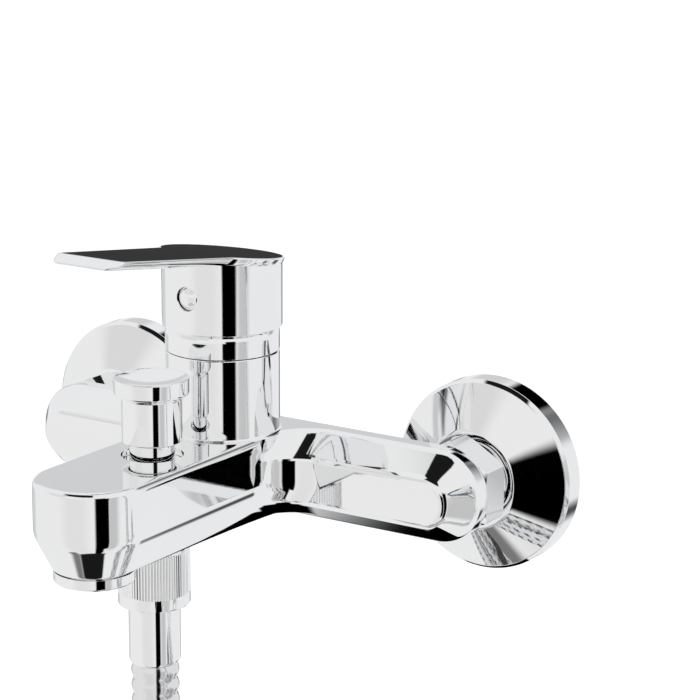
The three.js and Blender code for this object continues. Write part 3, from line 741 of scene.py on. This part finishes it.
def leverPlane(look):
    y = middle("neck_ring").y
    return move(0, y, look["axisTop"]) @ Matrix.Rotation(math.radians(-look["slope"]), 4, "X")


def makeHandle(look):
    plane = leverPlane(look)
    depth = look["recessDepth"]
    steps = [  # how far in the disc, the sides and the tip stand, and how high
        (0.75, 0.75, 5.7, -depth), (0.75, 0.75, 5.7, 0.0), (0.45, 0.45, 5.3, 0.0), (0.12, 0.15, 4.7, -0.16),
        (0.0, 0.0, 4.3, -0.45), (0.1, 0.25, 3.4, -0.9), (0.45, 1.1, 1.3, -1.75), (0.8, 2.0, 0.2, -2.4),
        (1.1, 2.7, 0.1, -2.75), (1.5, 3.5, 0.8, -3.05), (2.0, 4.4, 2.4, -3.2)]
    plate = placeAt(loft([keyhole(look, *step) for step in steps]), plane)
    handle = toObject("lever_handle", plate)

    y = middle("neck_ring").y
    bottom, radius, top = box("handle")[0].z, look["skirtRadius"], look["skirtTop"]
    skirt = placeAt(spun([(0, bottom), (radius, bottom), (radius, top), (0, top)], 0.35, 128), move(0, y, 0))
    cutAway(skirt, plane @ Vector(look["skirtCut"]), plane.to_3x3() @ Vector((0, 0, 1)))
    combine(handle, skirt, "UNION")

    hollow = bmesh.new()
    bmesh.ops.create_uvsphere(hollow, u_segments=64, v_segments=40, radius=look["hollowRadius"])
    placeAt(hollow, move(0, y, pivotHeight))
    combine(handle, hollow, "DIFFERENCE")
    plugHole = placeAt(rod(*look["plugHole"], 64), move(0, y, middle("index_plug").z) @ towardRoom)
    combine(handle, plugHole, "DIFFERENCE")
    chromed(handle, "handle", body="handle")

    gap = look["inlayGap"]
    edge = 0.75 + gap
    rows = [(edge, edge, 5.7 + gap, 0.08 - depth), (edge, edge, 5.7 + gap, -0.06),
            (edge + 0.1, edge + 0.1, 5.8 + gap, 0.0)]
    panel = placeAt(loft([keyhole(look, *row) for row in rows]), plane)
    finishPiece(toObject("lever_inlay", panel), "blackInlay", "handle", "handle_inlay",
                sharp=50)


plugSet = {"radius": 3.9, "backRadius": 3.2, "back": 15.8, "dome": 44, "steps": 9}


def makeIndexPlug(look):
    centre = middle("index_plug")
    face = -box("index_plug")[0].y + middle("neck_ring").y
    sphere = math.sin(math.radians(look["dome"]))
    profile = [(0, look["back"]), (look["backRadius"], look["back"])]
    for step in range(look["steps"] + 1):
        angle = math.radians(look["dome"] * (1 - step / look["steps"]))
        profile.append((look["radius"] * math.sin(angle) / sphere,
                        face - look["radius"] * (1 - math.cos(angle)) / sphere))
    bm = placeAt(spun(profile, 0, 64, 30), move(0, middle("neck_ring").y, centre.z) @ towardRoom)
    chromed(toObject("handle_index_plug", bm), "index_plug", body="handle")


makeNeck(neckSet)
makeHandle(handleSet)
makeIndexPlug(plugSet)
print("handle made")


# diverter
def makeDiverter():
    place = move(0, middle("diverter_knob").y, 0)
    low, high = box("diverter_knob")
    cap, top = radiusOf("diverter_knob"), high.z
    profile = [(7.9, low.z), (9.7, low.z), (10, low.z + 0.3), (10, 34.8), (10.4, 35.6), (12.1, 36.6),
               (cap, 37.3), (cap, top - 0.3), (cap - 0.2, top), (cap - 0.55, top),
               (cap - 1.0, top - 0.35), (9.2, top - 1.25), (6.6, top - 1.95), (3.6, top - 2.4),
               (0, top - 2.55), (0, 34), (7.9, 34), (7.9, low.z)]
    knob = placeAt(spun(profile, 0.12, 128, 30), place)
    chromed(toObject("diverter_cap", knob), "diverter_knob", body="diverter")

    low, high = box("diverter_bonnet")
    floor = bodySet["recessFloor"]
    profile = [(6.4, low.z), (8.2, low.z), (8.2, floor + 0.2), (10.05, floor + 0.2), (10.05, floor + 0.7),
               (9.7, floor + 0.95), (7.45, floor + 0.95), (7.45, high.z - 0.6), (6.5, high.z), (3.2, high.z),
               (3.2, 6), (6.4, 6), (6.4, low.z)]
    sleeve = placeAt(spun(profile, 0.1, 128, 30), place)
    chromed(toObject("diverter_sleeve", sleeve), "diverter_bonnet")


makeDiverter()
print("diverter made")


# wall connections
unionSet = {"acrossFlats": 30.0, "chamfer": 1.5, "rounding": 0.5, "thread": 13.4, "throat": 10.6}


def makeUnionNut(side, look):
    node = "union_nut_" + side
    low, high = box(node)
    corner = look["acrossFlats"] / math.sqrt(3)
    start, end = -high.y, -low.y
    bm = bmesh.new()
    bmesh.ops.create_circle(bm, cap_ends=True, segments=6, radius=corner)
    bmesh.ops.rotate(bm, verts=bm.verts, cent=(0, 0, 0), matrix=Matrix.Rotation(turn / 12, 3, "Z"))
    grown = bmesh.ops.extrude_face_region(bm, geom=bm.faces[:])["geom"]
    upper = [g for g in grown if isinstance(g, bmesh.types.BMVert)]
    bmesh.ops.translate(bm, vec=(0, 0, end - start), verts=upper)
    upright = [e for e in bm.edges if abs(e.verts[0].co.z - e.verts[1].co.z) > 1]
    bmesh.ops.bevel(bm, geom=upright, offset=look["rounding"], segments=3, profile=0.5, affect="EDGES",
                    material=-1)
    placeAt(bm, move(0, 0, start))
    placeAt(bm, Matrix.Rotation(turn / 12, 4, "Z"))
    nut = toObject("coupling_nut_" + side, bm)
    rim = corner - look["chamfer"]
    reach = corner + 0.3
    lathe = spun([(0, start), (rim, start), (reach, start + 1.1), (reach, end - 1.1), (rim, end), (0, end)])
    combine(nut, lathe, "INTERSECT")
    combine(nut, rod(look["thread"], start - 1, end - 2.5, 96), "DIFFERENCE")
    combine(nut, rod(look["throat"], start - 1, end + 1, 96), "DIFFERENCE")
    place = move(middle(node).x, 0, 0) @ towardRoom
    chromed(nut, node, place, 28)


rosetteSet = {"coneRadius": 32.0, "neckRadius": 17.0, "rim": 8.5, "wall": 2.0, "bore": 13.6}


def makeRosette(side, look):
    node = "wall_rosette_" + side
    radius, depth = radiusOf(node), -box(node)[0].y
    rim, wall, neck, bore = look["rim"], look["wall"], look["neckRadius"], look["bore"]
    profile = [(bore, depth), (neck - 1.4, depth), (neck - 0.4, depth - 0.12), (neck + 0.6, depth - 0.5),
               (look["coneRadius"], rim), (radius, rim - 1.3), (radius, 0), (radius - wall, 0),
               (look["coneRadius"] - wall, rim - 2), (neck + 1.5, depth - 2.6), (bore, depth - 2.6),
               (bore, depth)]
    bm = spun(profile, 0.14, 192, 12)
    place = move(middle("union_nut_" + side).x, 0, 0) @ towardRoom
    chromed(toObject("rosette_" + side, bm), node, place, 20)


threadSet = {"crest": 10.4, "bore": 6.5, "pitch": 1.8, "depth": 1.1, "rise": 5.0}


def makeEccentric(side, look):
    node = "eccentric_union_" + side
    low, high = box(node)
    start, end = -high.y, -low.y
    crest, bore, pitch = look["crest"], look["bore"], look["pitch"]
    root = crest - look["depth"]
    profile = [(bore, start), (root, start)]
    z = start + 0.8
    while z < -0.6:
        profile += [(root, z), (crest, z + pitch * 0.42), (crest, z + pitch * 0.58)]
        z += pitch
    profile += [(root, z), (root, 1.5), (12.2, 1.5), (12.2, 8), (bore, 8), (bore, start)]
    thread = placeAt(spun(profile, sides=64), move(0, look["rise"], 0))
    wallEnd = toObject("eccentric_connector_" + side, thread)
    mixerEnd = spun([(8, 6.2), (13.1, 6.2), (13.1, end - 0.6), (12.5, end), (8, end), (8, 6.2)], 0.2, 96)
    combine(wallEnd, mixerEnd, "UNION")
    place = move(middle("union_nut_" + side).x, 0, 0) @ towardRoom
    chromed(wallEnd, node, place)


for side in ("left", "right"):
    makeUnionNut(side, unionSet)
    makeRosette(side, rosetteSet)
    makeEccentric(side, threadSet)
print("wall connections made")


# shower outlet and aerator
hoseNutSet = {"ribs": 72, "ribDepth": 0.32, "edge": 0.9, "bore": 10.5, "throat": 7.4}


def makeHoseNut(look):
    low, high = box("hose_nut")
    radius = radiusOf("hose_nut")
    count = look["ribs"] * 4
    wave = [0.0, 0.75, 1.0, 0.75]  # one rib, from its valley to its valley

    def ribbed(inset, ribs, z):
        ring = []
        for part in range(count):
            angle = part * turn / count
            reach = radius - inset - look["ribDepth"] * ribs * (1 - wave[part % 4])
            ring.append((reach * math.cos(angle), reach * math.sin(angle), z))
        return ring

    bore, throat, edge = radius - look["bore"], radius - look["throat"], look["edge"]
    steps = [  # how far in, how much of the ribs, and the height
        (bore, 0, high.z), (0.75, 0, high.z), (0.45, 0, high.z - 0.3), (0.35, 0, high.z - edge),
        (0, 1, high.z - edge - 0.5), (0, 1, low.z + 4.6), (0, 0, low.z + 4.2), (0, 0, low.z + 0.7),
        (0.2, 0, low.z + 0.25), (0.7, 0, low.z), (throat, 0, low.z), (throat, 0, low.z + 5),
        (bore, 0, low.z + 5)]
    rings = [ribbed(*step) for step in steps]
    bm = placeAt(loft(rings, closed=True), move(0, middle("hose_nut").y, 0))
    chromed(toObject("hose_swivel_nut", bm), "hose_nut", sharp=34)


def makeFerrule():
    low, high = box("hose_ferrule")
    lip = high.z - 2
    seat = middle("hose_nut").z - 10.4
    profile = [(5.2, high.z), (10, high.z), (10, lip), (7, lip), (7, seat), (8.3, seat), (8.6, seat - 0.3),
               (8.6, low.z + 1.4), (8.35, low.z + 0.5), (8.0, low.z), (5.2, low.z), (5.2, high.z)]
    bm = placeAt(spun(profile, 0.1, 96, 30), move(0, middle("hose_nut").y, 0))
    chromed(toObject("hose_sleeve", bm), "hose_ferrule")


aeratorSet = {"bore": 9.5, "seat": -14.3, "cell": 2.2, "wall": 0.28, "rows": 5}


def makeAerator(look):
    place = move(0, middle("aerator_shell").y, 0)
    low, high = box("aerator_shell")
    radius, bore, seat = radiusOf("aerator_shell"), look["bore"], look["seat"]
    profile = [(bore, low.z + 0.9), (10, low.z + 0.1), (10.6, low.z), (radius - 0.5, low.z),
               (radius, low.z + 0.6), (radius, seat), (11.4, seat), (11.4, high.z), (bore, high.z),
               (bore, low.z + 0.9)]
    shell = placeAt(spun(profile, 0.12, 128, 30), place)
    chromed(toObject("aerator_ring", shell), "aerator_shell")

    low, high = box("aerator_insert")
    cell = look["cell"]
    bm = bmesh.new()
    for row in range(-look["rows"], look["rows"] + 1):
        for column in range(-look["rows"], look["rows"] + 1):
            x = (column + (row % 2) / 2) * cell
            y = row * cell * math.sqrt(3) / 2
            if math.hypot(x, y) < 8.0:
                spot = move(x, y, low.z + 0.6) @ Matrix.Rotation(turn / 12, 4, "Z")
                bmesh.ops.create_circle(bm, cap_ends=True, segments=6, radius=cell / math.sqrt(3),
                                        matrix=spot)
    bmesh.ops.remove_doubles(bm, verts=bm.verts, dist=0.01)
    cells = bm.faces[:]
    bmesh.ops.inset_individual(bm, faces=cells, thickness=look["wall"] / 2, use_even_offset=True)
    bmesh.ops.translate(bm, vec=(0, 0, 1.6), verts=list({v for f in cells for v in f.verts}))
    grid = bpy.data.meshes.new("grid")
    bm.to_mesh(grid)
    bm.free()
    ring = spun([(8.3, low.z + 0.2), (9.2, low.z + 0.4), (9.2, high.z), (0, high.z), (0, low.z + 2.6),
                 (8.3, low.z + 2.6), (8.3, low.z + 0.2)], 0.1, 96, 30)
    ring.from_mesh(grid)
    placeAt(ring, place)
    finishPiece(toObject("aerator_honeycomb", ring), "whitePlastic", "mixer",
                "aerator_insert")


makeHoseNut(hoseNutSet)
makeFerrule()
makeAerator(aeratorSet)
print("outlet and aerator made")


# hand shower and its bracket
lean = math.radians(12)
seatPoint = Vector((middle("bracket_fork").x, -55.0, -115.0))
atSeat = Matrix.Translation(seatPoint) @ Matrix.Rotation(lean, 4, "X")
headPlace = atSeat @ move(0, -20, 172) @ Matrix.Rotation(math.radians(100), 4, "X")
gripSet = {"low": -13.7, "high": 158.0, "radius": 12.6, "bow": 20.0, "reach": 186.0, "steps": 40, "sides": 48}


def makeGrip(look):
    rings = []

    def ring(z, radius):
        bow = look["bow"] * ((z + 14) / look["reach"]) ** 2
        tilt = math.atan(2 * look["bow"] * (z + 14) / look["reach"] ** 2)
        points = []
        for part in range(look["sides"]):
            angle = part * turn / look["sides"]
            across = radius * math.sin(angle)
            points.append((radius * math.cos(angle), across * math.cos(tilt) - bow,
                           z + across * math.sin(tilt)))
        return points

    span = look["high"] - look["low"]
    rings.append(ring(look["low"], 10.6))
    rings.append(ring(look["low"] + 0.3, 11.3))
    for step in range(1, look["steps"] + 1):
        share = step / look["steps"]
        radius = look["radius"] - 0.9 + 3 * share - 1.8 * math.sin(math.pi * share) ** 0.9
        if share > 0.93:
            radius -= (share - 0.93) * 14
        rings.append(ring(look["low"] + span * share, radius))
    chromed(toObject("shower_grip", loft(rings)), "shower_handle", atSeat, 35, "hand_shower",
            "chromedPlastic")


headSet = {"radius": 40.0, "depth": 24.0, "plate": 34.5, "rings": [(12, 13.5), (16, 21.0), (20, 28.5)]}


def makeHead(look):
    radius, depth = look["radius"], look["depth"]
    profile = [(0, -depth), (8, -depth + 0.05)]
    for step in range(15):
        angle = step / 14 * turn / 4
        profile.append((14 + (radius - 14) * math.sin(angle), -8 - (depth - 8) * math.cos(angle) ** 1.15))
    profile += [(radius, -4.2), (36.5, -4.2), (36.5, -7), (20, -depth + 5), (0, -depth + 4)]
    chromed(toObject("shower_shell", spun(profile, 0.3, 128, 40)), "shower_head_shell", headPlace, 35,
            "hand_shower", "chromedPlastic")

    rim = [(35, -3.8), (radius - 0.3, -3.8), (radius, -3.4), (radius, -2), (radius - 0.6, -0.8),
           (radius - 2, 0.05), (36, 0.3), (35, 0), (35, -3.8)]
    finishPiece(toObject("shower_rim", spun(rim, 0.25, 128, 25)), "face", "hand_shower",
                "shower_face_ring", headPlace, sharp=35)

    reach = look["plate"]
    plate = [(0, -1.8), (reach, -1.8), (reach, -0.3), (reach - 0.4, 0), (32.4, 0), (32, 0.18), (31.6, 0),
             (9.6, 0), (9.2, 0.35), (8.6, 0.35), (8.2, 0), (0, -0.35)]
    finishPiece(toObject("shower_face", spun(plate, 0.08, 128, 20)), "face", "hand_shower",
                "shower_spray_plate", headPlace, sharp=30)


def makeNozzles(look):
    bm = bmesh.new()
    for count, reach in look["rings"]:
        for index in range(count):
            angle = index * turn / count
            spot = move(reach * math.cos(angle), reach * math.sin(angle), 0.05)
            for wide, narrow, tall, z in ((1.75, 1.45, 0.5, 0.25), (1.2, 0.85, 1.1, 1.0)):
                bmesh.ops.create_cone(bm, cap_ends=True, segments=14, radius1=wide, radius2=narrow,
                                      depth=tall, matrix=spot @ move(0, 0, z))
    tips = [f for f in bm.faces if len(f.verts) > 4 and f.calc_center_median().z > 1.5]
    bmesh.ops.inset_individual(bm, faces=tips, thickness=0.4, use_even_offset=True)
    bmesh.ops.translate(bm, vec=(0, 0, -0.5), verts=list({v for f in tips for v in f.verts}))
    finishPiece(toObject("shower_nozzles", bm), "nozzle", "hand_shower",
                "shower_nozzle_mat", headPlace, sharp=40)


def makeConeNut():
    profile = [(6.6, -14), (9.2, -14), (9.6, -13.6), (10.6, -5), (10.9, -4.6), (11.4, 6), (11.7, 6.4),
               (12, 13.4), (11.6, 14), (9, 14), (9, 5), (6.6, 5), (6.6, -14)]
    chromed(toObject("shower_cone", spun(profile, 0.15, 96, 30)), "shower_cone_nut", atSeat,
            body="hand_shower")
    collar = [(4.4, -18), (8, -18), (8.4, -17.6), (8.4, -15), (8.1, -14.3), (6.2, -14.3), (6.2, -2),
              (4.4, -2), (4.4, -18)]
    chromed(toObject("hose_collar", spun(collar, 0.12, 96, 30)), "hose_end_collar", atSeat,
            body="hand_shower")


def stadiumRing(half, high, inset, z, steps=24):
    ring = []
    for end in (1, -1):
        for step in range(steps + 1):
            angle = step / steps * turn / 2
            reach = half - inset
            ring.append((end * reach * math.cos(angle), end * ((high - half) + reach * math.sin(angle)), z))
    return ring


def makeBracket():
    low, high = box("bracket_plate")
    half, tall, depth = radiusOf("bracket_plate"), (high.z - low.z) / 2, -low.y
    steps = [(0.6, 0), (0, 0.5), (0, 5.2), (0.25, 6.1), (0.9, 6.9), (1.9, 7.5), (3.2, 7.8), (4.6, 7.9),
             (5.2, 8.0), (6.2, 8.55), (7.6, 8.85), (9.6, depth)]
    rings = [stadiumRing(half, tall, inset, z) for inset, z in steps]
    plate = toObject("bracket_cover", loft(rings))
    centreZ = middle("bracket_plate").z
    place = move(middle("bracket_plate").x, 0, centreZ) @ towardRoom
    combine(plate, roundBox((14.6, 16.6, 6), (0, 0, depth - 2), 0), "DIFFERENCE")
    for end in ("upper", "lower"):
        z = middle("bracket_screw_" + end).z - centreZ
        hole = placeAt(rod(4.7, 4, 20), move(0, z, 0))
        combine(plate, hole, "DIFFERENCE")
    chromed(plate, "bracket_plate", place)

    for end in ("upper", "lower"):
        node = "bracket_screw_" + end
        profile = [(0, -22), (1.2, -20), (1.5, 4.3), (4.2, 4.3), (4.2, 5.4), (3.4, 6.5), (2, 7), (0, 7.1)]
        screw = toObject("wall_screw_" + end, spun(profile, 0.1, 64))
        combine(screw, roundBox((9, 1.1, 2.4), (0, 0, 7.2), 0), "DIFFERENCE")
        spot = move(middle(node).x, 0, middle(node).z) @ towardRoom
        finishPiece(screw, "steel", "mixer", node, spot)


forkSet = {"inner": 13.4, "outer": 18.5, "height": 26.0, "mouth": 8.9}


def makeFork(look):
    half = look["height"] / 2
    cup = spun([(0, -half), (look["outer"], -half), (look["outer"], half), (0, half)], 1.4, 96, 24, 4)
    fork = toObject("bracket_cradle", placeAt(cup, Matrix.Rotation(lean, 4, "X")))
    reach = -seatPoint.y
    arm = roundBox((20, reach - 9.6, 22), (0, (reach - 9.6) / 2, 0), 2.4, 4)
    combine(fork, arm, "UNION")
    tenon = roundBox((14, 6, 16), (0, reach - 7.4, 0), 0.3)
    combine(fork, tenon, "UNION")
    seat = spun([(0, -look["height"]), (look["inner"] - 2.6, -look["height"]),
                 (look["inner"] + 1, look["height"]), (0, look["height"])], sides=96)
    combine(fork, placeAt(seat, Matrix.Rotation(lean, 4, "X")), "DIFFERENCE")
    mouth = roundBox((2 * look["mouth"], 40, 60), (0, -20, 0), 0)
    combine(fork, placeAt(mouth, Matrix.Rotation(lean, 4, "X")), "DIFFERENCE")
    chromed(fork, "bracket_fork", Matrix.Translation(seatPoint), finish="chromedPlastic")


makeGrip(gripSet)
makeHead(headSet)
makeNozzles(headSet)
makeConeNut()
makeBracket()
makeFork(forkSet)
print("hand shower and bracket made")


# finishes of the CAD parts that stay
keptFinishes = {
    "seat_nipple": "brass", "union_washer": "rubber", "inlet_filter": "steel",
    "cartridge_housing": "greyPlastic",
    "cartridge_base_seal": "rubber", "cartridge_fixed_disc": "ceramic", "cartridge_moving_disc": "ceramic",
    "cartridge_disc_carrier": "whitePlastic", "cartridge_rotor": "whitePlastic",
    "cartridge_retaining_nut": "brass", "spindle_pin": "steel", "spindle": "brass",
    "handle_set_screw": "steel", "diverter_stem": "steel", "diverter_seal": "rubber",
    "diverter_packing": "rubber", "outlet_nipple": "brass", "hose_washer": "rubber",
    "aerator_washer": "rubber", "shower_washer": "rubber",
}
for name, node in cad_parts.items():
    for start, finish in keptFinishes.items():
        if name.startswith(start) and not node.hide_render:
            node.data.materials.clear()
            node.data.materials.append(finishes[finish])
print("kept parts dressed")


# studio
# directions are degrees: round from the room's side towards +X, or from the wall's side towards -X, and up
studioSet = {
    "level": 0.885,
    "back": (0.975, 0.987, 1.0),
    "front": (1.0, 0.995, 0.985),
    "flags": [
        {"round": (-62, -18), "up": (18, 42), "soft": (9, 6), "level": 0.74},
        {"round": (-122, -104), "up": (-24, -8), "soft": (6, 4), "level": 0.66},
        {"round": (-20, 26), "up": (-60, 2), "soft": (14, 8), "level": 0.80},
        {"round": (66, 86), "up": (-50, 12), "soft": (6, 6), "level": 0.58},
        {"behind": (18, 64), "up": (4, 25), "soft": (5, 4), "level": 0.67},
        {"behind": (12, 54), "up": (-22, -7), "soft": (5, 3), "level": 0.22},
        {"behind": (-27, -11), "up": (-37, -25), "soft": (5, 3), "level": 0.08},
        {"behind": (-30, -8), "up": (12, 42), "soft": (12, 4), "level": 0.16},
        {"behind": (-12, 17), "up": (16, 43), "soft": (3, 3), "level": 0.0},
        {"round": (41.5, 62), "up": (-95, 25), "soft": (2.6, 4), "level": 0.0},
        {"round": (-85, -13), "up": (61, 86), "soft": (5, 2), "level": 0.01},
        {"round": (-40, 38), "up": (47, 86), "soft": (3, 3), "level": 0.01},
        {"round": (-36, -12), "up": (-95, -56), "soft": (7, 2), "level": 0.20},
        {"round": (-12, 77), "up": (-95, -65), "soft": (4, 2), "level": 0.01},
        {"behind": (0, 48), "up": (-95, -41), "soft": (2, 2), "level": 0.0},
    ],
    "floorLow": -0.335,
    "floorSize": 12.0,
}


def makeWorld(look):
    world = bpy.data.worlds.new("studio")
    scene.world = world
    world.use_nodes = True
    graph = Graph(world.node_tree)
    way = graph.node("ShaderNodeTexCoord", out="Generated")
    x = graph.node("ShaderNodeSeparateXYZ", None, {0: way}, out="X")
    y, z = x.out("Y"), x.out("Z")
    degrees = 180 / math.pi
    room = graph.node("ShaderNodeMath", {"operation": "ARCTAN2"}, {0: x, 1: 0 - y}) * degrees
    wall = graph.node("ShaderNodeMath", {"operation": "ARCTAN2"}, {0: 0 - x, 1: y}) * degrees
    up = graph.node("ShaderNodeMath", {"operation": "ARCSINE"}, {0: z}) * degrees

    def rise(value, at, soft):
        return graph.smooth(value, at - soft, at + soft)

    def between(value, limits, soft):
        return rise(value, limits[0], soft) * (1 - rise(value, limits[1], soft))

    light = look["level"]
    for flag in look["flags"]:
        angle, limits = (room, flag["round"]) if "round" in flag else (wall, flag["behind"])
        softRound, softUp = flag["soft"]
        mask = between(angle, limits, softRound) * between(up, flag["up"], softUp)
        light = light * (1 - mask) + flag["level"] * mask
    tone = graph.blend(rise(0 - y, 0.0, 0.6), opaque(look["back"]), opaque(look["front"]))
    multiply = {"data_type": "RGBA", "blend_type": "MULTIPLY"}
    seen = graph.node("ShaderNodeMix", multiply, {0: 1.0, 6: tone, 7: light}, out=2)
    direct = graph.node("ShaderNodeLightPath", out="Is Camera Ray")
    shown = graph.blend(direct, seen, opaque((1.0, 1.0, 1.0)))
    sky = graph.node("ShaderNodeBackground", None, {"Color": shown, "Strength": 1.0})
    graph.node("ShaderNodeOutputWorld", None, {"Surface": sky})


def makeFloor(look):
    material, graph = newMaterial("paleFloor")
    place = graph.node("ShaderNodeTexCoord", out="Object")
    grain = graph.node("ShaderNodeTexNoise", None, {"Vector": place, "Scale": 40.0}, out="Fac")
    colour = graph.blend(grain, opaque((0.93, 0.93, 0.93)), opaque((0.95, 0.95, 0.95)))
    graph.surface({"Base Color": colour, "Roughness": 0.9, "Emission Color": (1, 1, 1, 1),
                   "Emission Strength": 0.35})
    bm = bmesh.new()
    bmesh.ops.create_grid(bm, x_segments=4, y_segments=4, size=look["floorSize"] / 2)
    bmesh.ops.translate(bm, vec=(0, 0, look["floorLow"]), verts=bm.verts)
    floor = linked("floor", bm)
    floor.data.materials.append(material)
    floor.visible_glossy = False


# a soft-edged black flag close to the mixer, off camera, that darkens the right side of the rosette's cone
boardSet = {"centre": (0.1850, -0.240, -0.0800), "half": (0.0520, 0.155), "turned": 21.5, "soft": 0.13}


def makeBoard(look):
    material, graph = newMaterial("blackFlag")
    place = graph.node("ShaderNodeTexCoord", out="UV")
    across = graph.node("ShaderNodeSeparateXYZ", None, {0: place}, out="X")
    cover = 1
    for run in (across, across.out("Y")):
        edge = graph.node("ShaderNodeMath", {"operation": "PINGPONG"}, {0: run, 1: 0.5})
        cover = cover * graph.smooth(edge, 0.0, look["soft"])
    black = graph.node("ShaderNodeBsdfDiffuse", None, {"Color": (0.0, 0.0, 0.0, 1.0)}, out="BSDF")
    clear = graph.node("ShaderNodeBsdfTransparent", out="BSDF")
    mixed = graph.node("ShaderNodeMixShader", None, {0: cover, 1: clear, 2: black})
    graph.node("ShaderNodeOutputMaterial", None, {"Surface": mixed})
    bm = bmesh.new()
    bmesh.ops.create_grid(bm, x_segments=1, y_segments=1, size=1)
    layer = bm.loops.layers.uv.verify()
    for face in bm.faces:
        for corner in face.loops:
            corner[layer].uv = ((corner.vert.co.x + 1) / 2, (corner.vert.co.y + 1) / 2)
    bmesh.ops.scale(bm, vec=(*look["half"], 1), verts=bm.verts)
    stand = Matrix.Translation(look["centre"]) @ Matrix.Rotation(math.radians(look["turned"]), 4, "Z")
    placeAt(bm, stand @ Matrix.Rotation(turn / 4, 4, "X"))
    board = linked("board", bm)
    board.data.materials.append(material)
    board.visible_camera = False
    board.visible_diffuse = False
    board.visible_shadow = False
    board.visible_transmission = False


lampSet = {"power": 14.0, "size": 1.4, "spot": (0.5, -0.9, 1.5)}


def makeLamp(look):
    data = bpy.data.lights.new("softbox", "AREA")
    data.energy = look["power"]
    data.size = look["size"]
    lamp = bpy.data.objects.new("softbox", data)
    lamp.location = look["spot"]
    lamp.rotation_euler = (-Vector(look["spot"])).to_track_quat("-Z", "Y").to_euler()
    lamp.visible_glossy = False
    scene.collection.objects.link(lamp)


makeWorld(studioSet)
makeFloor(studioSet)
makeBoard(boardSet)
makeLamp(lampSet)
scene.view_settings.view_transform = "Standard"
print("studio lit")
